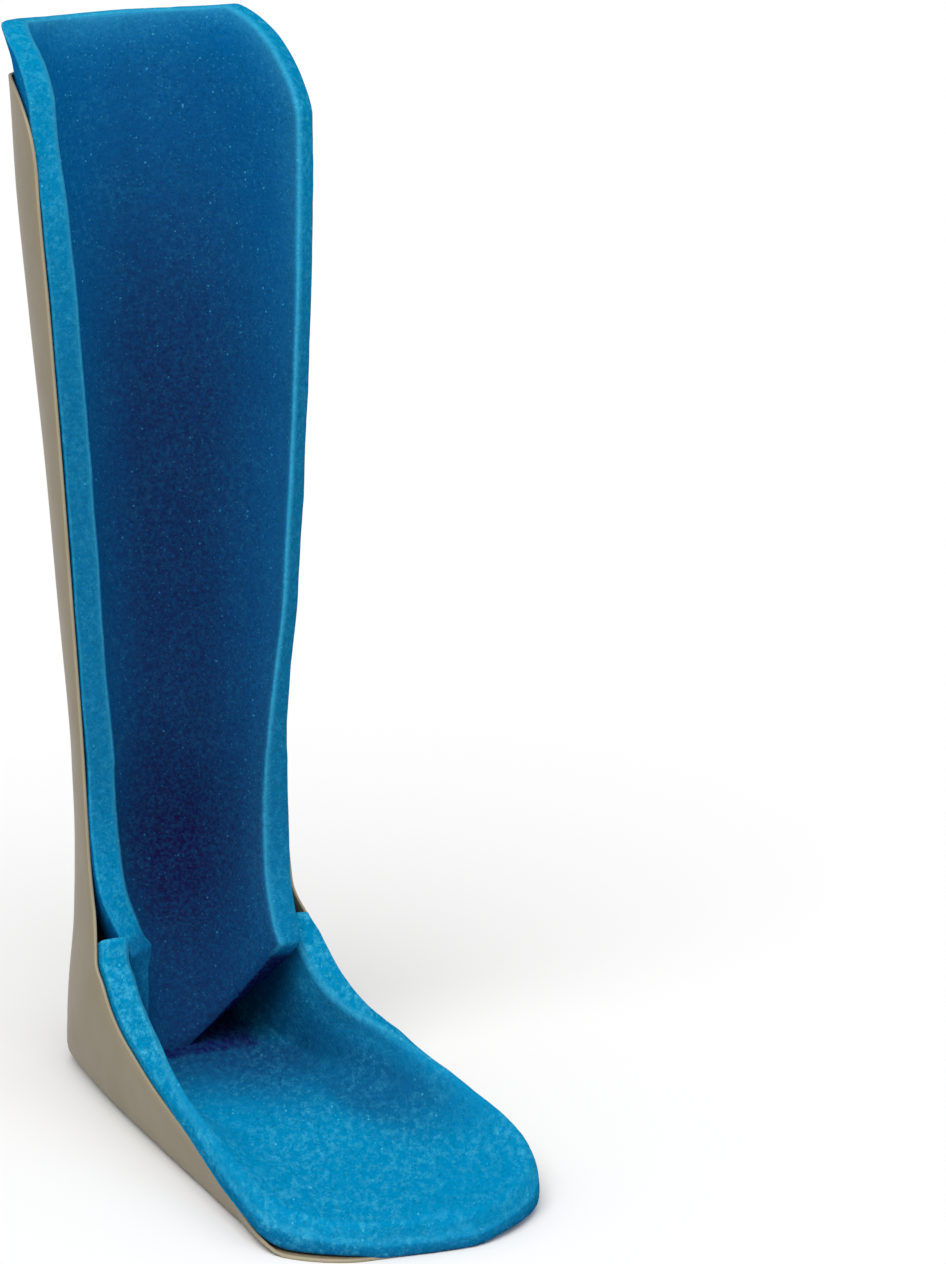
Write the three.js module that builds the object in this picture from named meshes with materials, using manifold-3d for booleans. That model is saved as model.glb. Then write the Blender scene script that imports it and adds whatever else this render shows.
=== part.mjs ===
// Posterior leg splint: a mitred sheet-metal trough for calf and foot, lined with two sheets of foam.
// Millimetres, +Z up. The toe points to -Y, the sole stands on z = 0 and the origin is under the box's centre.
import * as THREE from 'three';
import { mergeVertices } from 'three/addons/utils/BufferGeometryUtils.js';
import Module from 'manifold-3d';

// Driving dimensions of the sheet-metal shell
const INCH = 25.4;
const SHELL_HEIGHT = 16 * INCH;
const FOOT_LENGTH = 293;
const SHEET = 1.5;
const CALF_LEAN = 0.1625;
const CALF_LEAN_START = 120;
const ANKLE_BACK = -3.5;
const CALF_CORNER = 46;
const TOE_CORNER = 32;
const TOE_BOW = 8;
const TOE_SLANT = 4;

// Foam sheets
const FOAM = INCH / 2;
const SEAT_GAP = 1.5;
const PAD_RISE = 20;
const PAD_CORNER = 48;
const ROUND_CORNER = 2;
const SOFT_CUT_CORNER = 1.5;
const CALF_PAD_PROUD = 1;
const FOOT_PAD_PROUD = 3;
const FOOT_PAD_TOE_SETBACK = 1;
const SLAB_ROWS = { from: 13, to: 17 };

// Perforations and the bead along the mitre
const HOLE_RADIUS = INCH / 8;
const HOLE_PITCH = 0.75 * INCH;
const HOLE_SIDES = 8;
const HOLE_DEPTH = 60;
const HANG_HOLE = { radius: 4.4, drop: 14 };
const LEG_FIELD = { columns: 5, rows: 16, top: 363, shift: 2 };
const SOLE_FIELD = { columns: 5, rows: 8, heel: 93 };
const WELD = { radius: 2, lift: 1.3, sides: 6, steps: 24, end: 0.015, grooveEnd: 0.01 };

// Mesh fineness: facets on each curved side of a section, samples used to measure its length, ribs in a rounded
// corner, and the limits that keep a section's facets apart
const SIDE_FACETS = 7;
const LENGTH_SAMPLES = 80;
const CORNER_RIBS = 5;
const TIGHTEST_BEND = 2;
const WIDEST_FLAT = 0.85;
const RIB_SPACING = 0.05;
const SLOPE_STEP = 0.02;
const HALVINGS = 40;
const MERGE_DISTANCE = 1e-4;

// Back line of the calf: plumb above the heel, then leaning back with the calf muscle
const backY = (z) => ANKLE_BACK + CALF_LEAN * Math.max(0, z - CALF_LEAN_START);

// Sections of the sheet's outer face from above the calf to the toe. Each is a flat-backed U in the plane from its
// base on the centre line to its free edges: half its width, half its flat, and how far the sides close up
// (2 ends upright, 1 stays open). swing is how far the foot turns outwards there, and steps is the number of ribs
// up to the next row. The calf's sections stand square to its leaning back.
const RIB_COLUMNS = ['baseY', 'baseZ', 'edgeY', 'edgeZ', 'half', 'flat', 'close', 'swing', 'steps'];
const PAD_TOP = SHELL_HEIGHT + PAD_RISE;
const calfRow = (z, edgeY, half, flat, close, swing) => {
  return [backY(z), z, edgeY, z + CALF_LEAN * (backY(z) - edgeY), half, flat, close, swing, 2];
};
const RIBS = rows(RIB_COLUMNS, [
  calfRow(PAD_TOP, -25, 66.5, 6, 2, -3),
  calfRow(SHELL_HEIGHT, -28, 63.9, 6, 2, -5.1),
  calfRow(363, -33, 62.5, 6, 2, -4.5),
  calfRow(310, -40, 59.4, 6, 1.9, -3.6),
  calfRow(250, -45, 55.5, 6, 1.7, -2.9),
  calfRow(190, -50, 51.4, 6, 1.6, -1.6),
  [-3, 132, -56, 138, 47, 7, 1.45, 1.5, 2],
  [-3, 98, -60, 105, 46.2, 8, 1.36, 1.9, 1],
  [-2, 58, -65.5, 81, 45.6, 11, 1.36, 1.9, 1],
  [-0.8, 27, -71, 66, 50.4, 16, 1.42, -0.4, 1],
  [-4, 7, -75.5, 57, 51.7, 21, 1.42, -1.3, 1],
  [-15, 0, -80, 52, 52.5, 30, 1.5, -1.5, 1],
  [-42, 0, -92, 44.5, 53.4, 35, 1.6, -1, 2],
  [-88, 0, -114, 36.5, 55.5, 42, 1.65, 0, 2],
  [-138, 0, -145, 28.5, 60.1, 50, 1.55, -1.1, 2],
  [-184, 0, -184, 20, 65.2, 57.5, 1.5, -3.2, 2],
  [-228, 0, -228, 10, 66.2, 61, 1.3, -0.2, 2],
  [-262, 0, -262, 4, 62.5, 58, 1.15, 7, 2],
  [-FOOT_LENGTH, 0, -FOOT_LENGTH, 1.2, 58.5, 54, 1, 10.5, 0],
]);
const SHELL_TOP_ROW = 1;
const MITRE_ROW = 10;
const FOOT_PAD_REAR_ROW = 9;
const CALF_PAD_LAST_SHELL_ROW = 6;
const TOE_BOW_FROM_ROW = 16;

// Lower end of the calf foam, which leaves the sheet at the ankle and bridges the heel inside the foot foam. skew is
// how far its right edge runs ahead of its centre.
const TONGUE_COLUMNS = ['baseY', 'baseZ', 'edgeY', 'edgeZ', 'half', 'flat', 'close', 'swing', 'skew', 'steps'];
const TONGUE = rows(TONGUE_COLUMNS, [
  [-9.5, 102, -64.5, 109, 40.8, 7, 1.9, -0.5, 0, 2],
  [-23, 70, -70, 87, 37, 6, 1.8, -1, 3, 2],
  [-38, 41, -76, 70, 33.4, 5, 1.6, -1.6, 8, 2],
  [-51, 15.8, -80, 59, 32.4, 4, 1.4, -2, 12, 0],
]);

const ENAMEL = { color: 0xb3a17c, roughness: 0.45, metalness: 0.3 };
const CALF_FOAM = { color: 0x1c5fa3, roughness: 0.95, metalness: 0 };
const FOOT_FOAM = { color: 0x1f86c4, roughness: 0.95, metalness: 0 };

const wasm = await Module();
wasm.setup();

// A table with named columns as a list of objects
function rows(columns, values) {
  return values.map((row) => Object.fromEntries(columns.map((name, k) => [name, row[k]])));
}

// Smooth curve through one column of a table that never swings past its rows
function monotone(values) {
  const last = values.length - 1;
  const rise = values.slice(1).map((v, k) => v - values[k]);
  const slope = values.map((_, k) => {
    if (k === 0) return rise[0];
    if (k === last) return rise[last - 1];
    const [before, after] = [rise[k - 1], rise[k]];
    return before * after <= 0 ? 0 : (2 * before * after) / (before + after);
  });
  return (u) => {
    const k = Math.min(Math.floor(u), last - 1);
    const t = u - k;
    const blend = t * t * (3 - 2 * t);
    const start = slope[k] * t * (1 - t) * (1 - t);
    const end = slope[k + 1] * t * t * (1 - t);
    return values[k] + rise[k] * blend + start - end;
  };
}

// Rib at any place along a table, with the inward normal of the centre line at its base
function ribMaker(table) {
  const names = Object.keys(table[0]).filter((name) => name !== 'steps');
  const curves = Object.fromEntries(names.map((name) => [name, monotone(table.map((row) => row[name]))]));
  const last = table.length - 1;
  return (u) => {
    const rib = Object.fromEntries(names.map((name) => [name, curves[name](u)]));
    const [a, b] = [Math.max(u - SLOPE_STEP, 0), Math.min(u + SLOPE_STEP, last)];
    const alongY = curves.baseY(b) - curves.baseY(a);
    const alongZ = curves.baseZ(b) - curves.baseZ(a);
    const length = Math.hypot(alongY, alongZ);
    return { ...rib, u, normalY: alongZ / length, normalZ: -alongY / length, trim: 0 };
  };
}

const shellRib = ribMaker(RIBS);

// Places of the ribs between two rows of a table
function stations(table, from, to) {
  const list = [from];
  table.forEach((row, k) => {
    for (let step = 0; step < row.steps; step += 1) {
      const u = k + step / row.steps;
      if (u > from + RIB_SPACING && u < to - RIB_SPACING) list.push(u);
    }
  });
  list.push(to);
  return list;
}

function direction(rib) {
  const depth = Math.hypot(rib.edgeY - rib.baseY, rib.edgeZ - rib.baseZ);
  return { depth, y: (rib.edgeY - rib.baseY) / depth, z: (rib.edgeZ - rib.baseZ) / depth };
}

// One side of a section from its flat to its free edge, as evenly spaced points [across, deep]
function side(rib) {
  const { depth } = direction(rib);
  const fine = [[0, 0]];
  for (let k = 0; k <= LENGTH_SAMPLES; k += 1) {
    const reach = Math.sin((Math.PI / 2) * (k / LENGTH_SAMPLES));
    const deep = depth * (1 - Math.max(0, 1 - reach * reach) ** (1 / rib.close));
    fine.push([rib.flat + (rib.half - rib.flat) * reach, deep]);
  }
  const run = [0];
  for (let k = 1; k < fine.length; k += 1) {
    run.push(run[k - 1] + Math.hypot(fine[k][0] - fine[k - 1][0], fine[k][1] - fine[k - 1][1]));
  }
  const length = run.at(-1) - rib.trim;
  const start = Math.min(rib.flat, WIDEST_FLAT * length);
  const points = [];
  for (let facet = 0; facet <= SIDE_FACETS; facet += 1) {
    const target = start + ((length - start) * facet) / SIDE_FACETS;
    const k = Math.max(1, run.findIndex((value) => value >= target - MERGE_DISTANCE));
    const t = (target - run[k - 1]) / (run[k] - run[k - 1]);
    points.push(fine[k].map((value, axis) => fine[k - 1][axis] + (value - fine[k - 1][axis]) * t));
  }
  return points;
}

// Tangent of a section at its free edge
function edgeTangent(rib) {
  const points = side({ ...rib, trim: 0 });
  const [a, b] = points.slice(-2);
  const length = Math.hypot(b[0] - a[0], b[1] - a[1]);
  return { across: (b[0] - a[0]) / length, deep: (b[1] - a[1]) / length };
}

// The same section moved inwards by a thickness
function inset(rib, thickness) {
  const e = direction(rib);
  const tangent = edgeTangent(rib);
  const baseShift = thickness / (e.y * rib.normalY + e.z * rib.normalZ);
  const half = rib.half - thickness * tangent.deep;
  return {
    ...rib,
    baseY: rib.baseY + e.y * baseShift,
    baseZ: rib.baseZ + e.z * baseShift,
    edgeY: rib.edgeY + e.y * thickness * tangent.across,
    edgeZ: rib.edgeZ + e.z * thickness * tangent.across,
    half,
    flat: Math.min(rib.flat, half - TIGHTEST_BEND),
  };
}

// Upper face of the foot foam: it lines the walls at the heel and turns into a flat slab with upright edges at the toe
function upperFace(rib) {
  const e = direction(rib);
  const bent = inset(rib, FOAM);
  const share = THREE.MathUtils.smoothstep(rib.u, SLAB_ROWS.from, SLAB_ROWS.to);
  return {
    ...bent,
    edgeY: THREE.MathUtils.lerp(bent.edgeY, rib.edgeY + e.y * FOAM, share),
    edgeZ: THREE.MathUtils.lerp(bent.edgeZ, rib.edgeZ + e.z * FOAM, share),
    half: THREE.MathUtils.lerp(bent.half, rib.half, share),
    flat: THREE.MathUtils.lerp(bent.flat, rib.flat, share),
  };
}

// The same section with its free edges run on past the sheet
function extend(rib, past) {
  const e = direction(rib);
  const tangent = edgeTangent(rib);
  return {
    ...rib,
    edgeY: rib.edgeY + e.y * past * tangent.deep,
    edgeZ: rib.edgeZ + e.z * past * tangent.deep,
    half: rib.half + past * tangent.across,
  };
}

// Points of a whole section from its left free edge to its right one
function section(rib) {
  const e = direction(rib);
  const right = side(rib);
  const left = right.map(([x, d]) => [-x, d]).reverse();
  const toe = Math.max(0, (rib.u - TOE_BOW_FROM_ROW) / (RIBS.length - 1 - TOE_BOW_FROM_ROW)) ** 2;
  return [...left, [0, 0], ...right].map(([x, d]) => {
    const across = x / rib.half;
    const skew = (rib.skew ?? 0) * across * (d / e.depth);
    const bowed = toe * (TOE_BOW * across * across + TOE_SLANT * across);
    return new THREE.Vector3(x - rib.swing, rib.baseY + e.y * d + bowed - skew, rib.baseZ + e.z * d);
  });
}

// Length taken off each side of a section by a corner, at a distance from the corner's end: power 2 is a round
// corner, and a lower one is closer to a straight cut
function cornerTrim(radius, distance, power) {
  const left = Math.max(0, 1 - distance / radius);
  return radius * (1 - (1 - left ** power) ** (1 / power));
}

// Distances from a rounded end at which its ribs stand
function cornerSteps(radius) {
  const steps = [];
  for (let k = 0; k <= CORNER_RIBS; k += 1) {
    steps.push(radius * (1 - Math.cos((Math.PI / 2) * (k / CORNER_RIBS))));
  }
  return steps;
}

// Place along the table where its centre line stands a distance away from an end
function placeAt(from, to, distance) {
  const start = shellRib(from);
  let [low, high] = [Math.min(from, to), Math.max(from, to)];
  for (let k = 0; k < HALVINGS; k += 1) {
    const middle = (low + high) / 2;
    const rib = shellRib(middle);
    const gone = Math.hypot(rib.baseY - start.baseY, rib.baseZ - start.baseZ);
    const towardsLow = to < from ? gone < distance : gone > distance;
    if (towardsLow) high = middle;
    else low = middle;
  }
  return (low + high) / 2;
}

// Ribs from one place to another, with rounded corners where a radius is given
function ribsBetween(from, to, topRadius, toeRadius, power) {
  const ribs = [];
  const afterTop = placeAt(from, to, topRadius);
  const beforeToe = placeAt(to, from, toeRadius);
  if (topRadius > 0) {
    cornerSteps(topRadius).slice(0, -1).forEach((distance) => {
      ribs.push({ ...shellRib(placeAt(from, to, distance)), trim: cornerTrim(topRadius, distance, power) });
    });
  }
  stations(RIBS, topRadius > 0 ? afterTop : from, toeRadius > 0 ? beforeToe : to).forEach((u) => {
    ribs.push(shellRib(u));
  });
  if (toeRadius > 0) {
    cornerSteps(toeRadius).slice(0, -1).reverse().forEach((distance) => {
      ribs.push({ ...shellRib(placeAt(to, from, distance)), trim: cornerTrim(toeRadius, distance, power) });
    });
  }
  return ribs;
}

// Unit normals of a grid of points, on the side of the hollow
function hollowNormals(grid) {
  const pick = (list, k) => list[Math.min(Math.max(k, 0), list.length - 1)];
  return grid.map((line, i) => line.map((_, j) => {
    const down = pick(grid, i + 1)[j].clone().sub(pick(grid, i - 1)[j]);
    const across = pick(line, j + 1).clone().sub(pick(line, j - 1));
    return down.cross(across).normalize();
  }));
}

// Closed sheet between an outer and an inner grid of points
function sheet(outer, inner) {
  const count = outer.length;
  const width = outer[0].length;
  const index = [];
  const at = (face, i, j) => (face * count + i) * width + j;
  const quad = (a, b, c, d) => index.push(a, b, c, a, c, d);
  for (let i = 0; i + 1 < count; i += 1) {
    for (let j = 0; j + 1 < width; j += 1) {
      quad(at(0, i, j), at(0, i, j + 1), at(0, i + 1, j + 1), at(0, i + 1, j));
      quad(at(1, i, j), at(1, i + 1, j), at(1, i + 1, j + 1), at(1, i, j + 1));
    }
    const end = width - 1;
    quad(at(0, i, 0), at(0, i + 1, 0), at(1, i + 1, 0), at(1, i, 0));
    quad(at(0, i, end), at(1, i, end), at(1, i + 1, end), at(0, i + 1, end));
  }
  for (let j = 0; j + 1 < width; j += 1) {
    const end = count - 1;
    quad(at(0, 0, j), at(1, 0, j), at(1, 0, j + 1), at(0, 0, j + 1));
    quad(at(0, end, j), at(0, end, j + 1), at(1, end, j + 1), at(1, end, j));
  }
  const points = [...outer.flat(), ...inner.flat()];
  const geometry = new THREE.BufferGeometry();
  geometry.setAttribute('position', new THREE.Float32BufferAttribute(points.flatMap((p) => p.toArray()), 3));
  geometry.setIndex(index);
  return geometry;
}

// Solid for joining and cutting, from a closed geometry
function solidOf(geometry) {
  const bare = geometry.clone();
  bare.deleteAttribute('normal');
  bare.deleteAttribute('uv');
  const merged = mergeVertices(bare, MERGE_DISTANCE);
  return new wasm.Manifold(new wasm.Mesh({
    numProp: 3,
    vertProperties: Float32Array.from(merged.attributes.position.array),
    triVerts: Uint32Array.from(merged.index.array),
  }));
}

function geometryOf(solid) {
  const mesh = solid.getMesh();
  const geometry = new THREE.BufferGeometry();
  geometry.setAttribute('position', new THREE.Float32BufferAttribute(mesh.vertProperties, 3));
  geometry.setIndex(Array.from(mesh.triVerts));
  geometry.computeVertexNormals();
  return geometry;
}

// Round punch through the sheet, along Y through the calf or along Z through the sole
function punch(radius, x, y, z, throughSole) {
  const geometry = new THREE.CylinderGeometry(radius, radius, HOLE_DEPTH, HOLE_SIDES);
  geometry.rotateY(Math.PI / HOLE_SIDES);
  if (throughSole) geometry.rotateX(Math.PI / 2);
  geometry.translate(x, y, z);
  return solidOf(geometry);
}

// Staggered field of punches: every other column drops by half a pitch
function field({ columns, rows: count }, place) {
  const punches = [];
  for (let column = 0; column < columns; column += 1) {
    const x = (column - (columns - 1) / 2) * (HOLE_PITCH / 2);
    for (let row = 0; row < count; row += 1) {
      punches.push(place(x, (row + 0.5 * (column % 2)) * HOLE_PITCH));
    }
  }
  return punches;
}

// Bead along the mitre on the inside of the sheet
function weldTube(clearance, end) {
  const rib = inset(shellRib(MITRE_ROW), SHEET + WELD.lift);
  const curve = new THREE.CatmullRomCurve3(section(rib));
  const path = new THREE.CatmullRomCurve3(
    [...Array(WELD.steps + 1).keys()].map((k) => {
      return curve.getPointAt(end + (1 - 2 * end) * (k / WELD.steps));
    }),
  );
  const ring = [...Array(WELD.sides).keys()].map((k) => {
    const angle = (2 * Math.PI * k) / WELD.sides;
    return new THREE.Vector2(Math.cos(angle), Math.sin(angle)).multiplyScalar(WELD.radius + clearance);
  });
  return solidOf(new THREE.ExtrudeGeometry(new THREE.Shape(ring), { steps: WELD.steps, extrudePath: path }));
}

function makeShell() {
  const ribs = ribsBetween(SHELL_TOP_ROW, RIBS.length - 1, CALF_CORNER, TOE_CORNER, ROUND_CORNER);
  const outer = ribs.map((rib) => section(rib));
  const inner = ribs.map((rib) => section(inset(rib, SHEET)));
  const alongCalf = Math.cos(Math.atan(CALF_LEAN));
  const legPunches = field(LEG_FIELD, (x, run) => {
    const z = LEG_FIELD.top - run * alongCalf;
    return punch(HOLE_RADIUS, x + LEG_FIELD.shift, backY(z), z, false);
  });
  const solePunches = field(SOLE_FIELD, (x, run) => {
    return punch(HOLE_RADIUS, x, -SOLE_FIELD.heel - run, 0, true);
  });
  const hangZ = SHELL_HEIGHT - HANG_HOLE.drop;
  const hangPunch = punch(HANG_HOLE.radius, LEG_FIELD.shift, backY(hangZ), hangZ, false);
  let solid = solidOf(sheet(outer, inner)).add(weldTube(0, WELD.end));
  [...legPunches, ...solePunches, hangPunch].forEach((tool) => {
    solid = solid.subtract(tool);
  });
  return geometryOf(solid);
}

function makeCalfPad() {
  const seat = SHEET + SEAT_GAP;
  const upper = ribsBetween(0, CALF_PAD_LAST_SHELL_ROW, PAD_CORNER, 0, SOFT_CUT_CORNER)
    .map((rib) => extend(inset(rib, seat), CALF_PAD_PROUD));
  const tongueTable = [{ ...upper.at(-1), skew: 0, steps: 2 }, ...TONGUE]
    .map((rib) => Object.fromEntries(TONGUE_COLUMNS.map((name) => [name, rib[name]])));
  const tongueRib = ribMaker(tongueTable);
  const lower = stations(tongueTable, 0, tongueTable.length - 1).slice(1)
    .map((place) => ({ ...tongueRib(place), u: 0 }));
  const outer = [...upper, ...lower].map((rib) => section(rib));
  const normals = hollowNormals(outer);
  const inner = outer.map((line, i) => {
    if (i < upper.length) return section(inset(upper[i], FOAM));
    return line.map((point, j) => point.clone().addScaledVector(normals[i][j], FOAM));
  });
  return geometryOf(solidOf(sheet(outer, inner)));
}

function makeFootPad() {
  const toe = placeAt(RIBS.length - 1, FOOT_PAD_REAR_ROW, FOOT_PAD_TOE_SETBACK);
  const ribs = ribsBetween(FOOT_PAD_REAR_ROW, toe, 0, TOE_CORNER, ROUND_CORNER)
    .map((rib) => extend(inset(rib, SHEET + SEAT_GAP), FOOT_PAD_PROUD));
  const outer = ribs.map((rib) => section(rib));
  const inner = ribs.map((rib) => section(upperFace(rib)));
  return geometryOf(solidOf(sheet(outer, inner)).subtract(weldTube(SEAT_GAP, WELD.grooveEnd)));
}

function piece(name, geometry, finish) {
  const mesh = new THREE.Mesh(geometry, new THREE.MeshStandardMaterial(finish));
  mesh.name = name;
  return mesh;
}

const splint = new THREE.Group();
splint.add(piece('shell', makeShell(), ENAMEL));
splint.add(piece('calf_pad', makeCalfPad(), CALF_FOAM));
splint.add(piece('foot_pad', makeFootPad(), FOOT_FOAM));

// Bring the origin under the middle of the whole splint
const box = new THREE.Box3().setFromObject(splint);
const middle = box.getCenter(new THREE.Vector3());
splint.position.set(-middle.x, -middle.y, -box.min.z);

export default splint;
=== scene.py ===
"""Posterior leg splint: an enamelled sheet-metal trough for calf and foot, lined with two sheets of foam.

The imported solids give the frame. The classes below rebuild the shell with its round perforations and rolled
rim, and the two foam sheets with their soft cut edges, then dress them and set up a plain studio. Lengths in
the fields and tables are in millimetres, measured from the heel's centre line on the floor. Those of textures
and of the studio are in metres. Shares across a sheet run from -1 at its left free edge to 1 at its right one.
"""

from __future__ import annotations

import logging
import math
from dataclasses import dataclass, field, replace
from enum import Enum
from typing import Any, Callable, Mapping, Sequence, Union

import bpy
import numpy as np
from mathutils import Matrix, Vector, geometry, noise


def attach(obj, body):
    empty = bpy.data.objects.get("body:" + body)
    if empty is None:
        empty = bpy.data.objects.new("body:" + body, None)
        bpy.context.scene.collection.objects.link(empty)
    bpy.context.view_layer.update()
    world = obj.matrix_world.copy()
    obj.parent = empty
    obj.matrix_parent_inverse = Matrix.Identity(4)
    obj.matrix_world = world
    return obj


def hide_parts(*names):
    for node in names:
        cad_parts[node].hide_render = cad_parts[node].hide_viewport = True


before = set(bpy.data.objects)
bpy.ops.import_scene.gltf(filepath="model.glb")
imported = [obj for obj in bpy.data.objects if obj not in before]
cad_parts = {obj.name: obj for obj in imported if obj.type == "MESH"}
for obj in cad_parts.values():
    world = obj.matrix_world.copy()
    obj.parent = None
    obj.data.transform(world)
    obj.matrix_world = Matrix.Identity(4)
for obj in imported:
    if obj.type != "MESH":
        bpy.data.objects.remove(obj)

LOG = logging.getLogger("leg_splint")
MM = 0.001
INCH = 25.4
HEEL_IN_FRAME = (0.53, 125.02, 0.0)
TINY = 1e-9

Value = Union["Wire", float, Sequence[float]]
Colour = tuple[float, float, float, float]
Stops = tuple[tuple[float, float], ...]
Pairs = list[tuple[int, int]]
Triangles = list[tuple[int, ...]]


class Slot(Enum):
    """Material slots of the record."""

    ENAMEL = "enamel"
    CALF_FOAM = "calf_foam"
    FOOT_FOAM = "foot_foam"


class Mark(Enum):
    """Values kept at the points of a mesh for its finish."""

    CUT = "cut"
    RIM = "rim"
    # Painted shade: how much of a foam's dark shade colour a point takes
    PAINTED_SHADE = "hollow"


class Corner(Enum):
    """How a corner runs: the power of its curve."""

    ROUND = 2.0
    SOFT_CUT = 1.5
    CUT = 1.3

    def trim(self, radius: float, distance: float) -> float:
        """Length that the corner takes off one side of a section.

        Args:
            radius: The corner's size.
            distance: How far the section is from the end that has the corner.

        Returns:
            The length taken off.
        """
        left = max(0.0, 1.0 - distance / radius)
        return radius * (1.0 - (1.0 - left**self.value) ** (1.0 / self.value))


@dataclass(frozen=True)
class Ease:
    """A smooth change from nothing at one place to a full amount at another."""

    start: float
    full: float
    amount: float = 1.0

    def __call__(self, place: np.ndarray | float) -> np.ndarray:
        """Reads the amount at a place.

        Args:
            place: Where to look.

        Returns:
            The amount there.
        """
        t = np.clip((np.asarray(place, float) - self.start) / (self.full - self.start), 0.0, 1.0)
        return self.amount * (t * t * (3.0 - 2.0 * t))


@dataclass(frozen=True)
class Table:
    """A value that runs straight from each row's place to the next."""

    rows: tuple[tuple[float, float], ...]

    def __call__(self, place: np.ndarray | float) -> np.ndarray:
        """Reads the value at a place."""
        return np.interp(place, *zip(*self.rows))


def eased(start: float, eases: Sequence[Ease], place: np.ndarray) -> np.ndarray:
    """Adds smooth changes to a starting value.

    Args:
        start: The starting value.
        eases: The changes.
        place: Where to look.

    Returns:
        The sum there.
    """
    return sum((ease(place) for ease in eases), start)


def unit(vectors: np.ndarray) -> np.ndarray:
    """Scales vectors along the last axis to length 1."""
    return vectors / np.maximum(np.linalg.norm(vectors, axis=-1, keepdims=True), TINY)


def corner_rows(size: float, count: int) -> np.ndarray:
    """Distances from a rounded end, closer together towards it.

    Args:
        size: The corner's size.
        count: Number of steps.

    Returns:
        The distances, from 0 to the size.
    """
    return size * (1.0 - np.cos(np.linspace(0.0, math.pi / 2, count + 1)))


def link(name: str, data: bpy.types.ID) -> bpy.types.Object:
    """Makes an object and adds it to the scene.

    Args:
        name: Its name.
        data: Its mesh, camera or light.

    Returns:
        The object.
    """
    made = bpy.data.objects.new(name, data)
    bpy.context.scene.collection.objects.link(made)
    return made


class Wire:
    """An output socket that takes part in Python expressions."""

    def __init__(self, tree: "ShaderTree", socket: bpy.types.NodeSocket | None) -> None:
        """Keeps the socket and the tree it belongs to."""
        self.tree = tree
        self.socket = socket

    def _math(self, operation: str, first: Value, second: Value) -> "Wire":
        """Adds a Math node.

        Args:
            operation: The Math node's operation.
            first: Its first value.
            second: Its second value.

        Returns:
            The result.
        """
        return self.tree.node("ShaderNodeMath", {"operation": operation}, {0: first, 1: second})

    def __add__(self, other: Value) -> "Wire":
        """Sum."""
        return self._math("ADD", self, other)

    def __radd__(self, other: Value) -> "Wire":
        """Sum, reflected."""
        return self._math("ADD", other, self)

    def __sub__(self, other: Value) -> "Wire":
        """Difference."""
        return self._math("SUBTRACT", self, other)

    def __rsub__(self, other: Value) -> "Wire":
        """Difference, reflected."""
        return self._math("SUBTRACT", other, self)

    def __mul__(self, other: Value) -> "Wire":
        """Product."""
        return self._math("MULTIPLY", self, other)

    def __rmul__(self, other: Value) -> "Wire":
        """Product, reflected."""
        return self._math("MULTIPLY", other, self)

    def __gt__(self, other: Value) -> "Wire":
        """One where this is greater."""
        return self._math("GREATER_THAN", self, other)

    def __lt__(self, other: Value) -> "Wire":
        """One where this is less."""
        return self._math("LESS_THAN", self, other)


@dataclass(frozen=True)
class Grain:
    """Soft noise: features per metre, octaves, weight of the finer ones, and the stops that remap it."""

    scale: float
    detail: float
    roughness: float = 0.5
    stops: Stops = ()


@dataclass(frozen=True)
class Specks:
    """Dots in some of many cells: cells per metre, lot above which one has a dot, its size and its strength."""

    scale: float
    lot: float
    size: float
    strength: float


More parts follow.
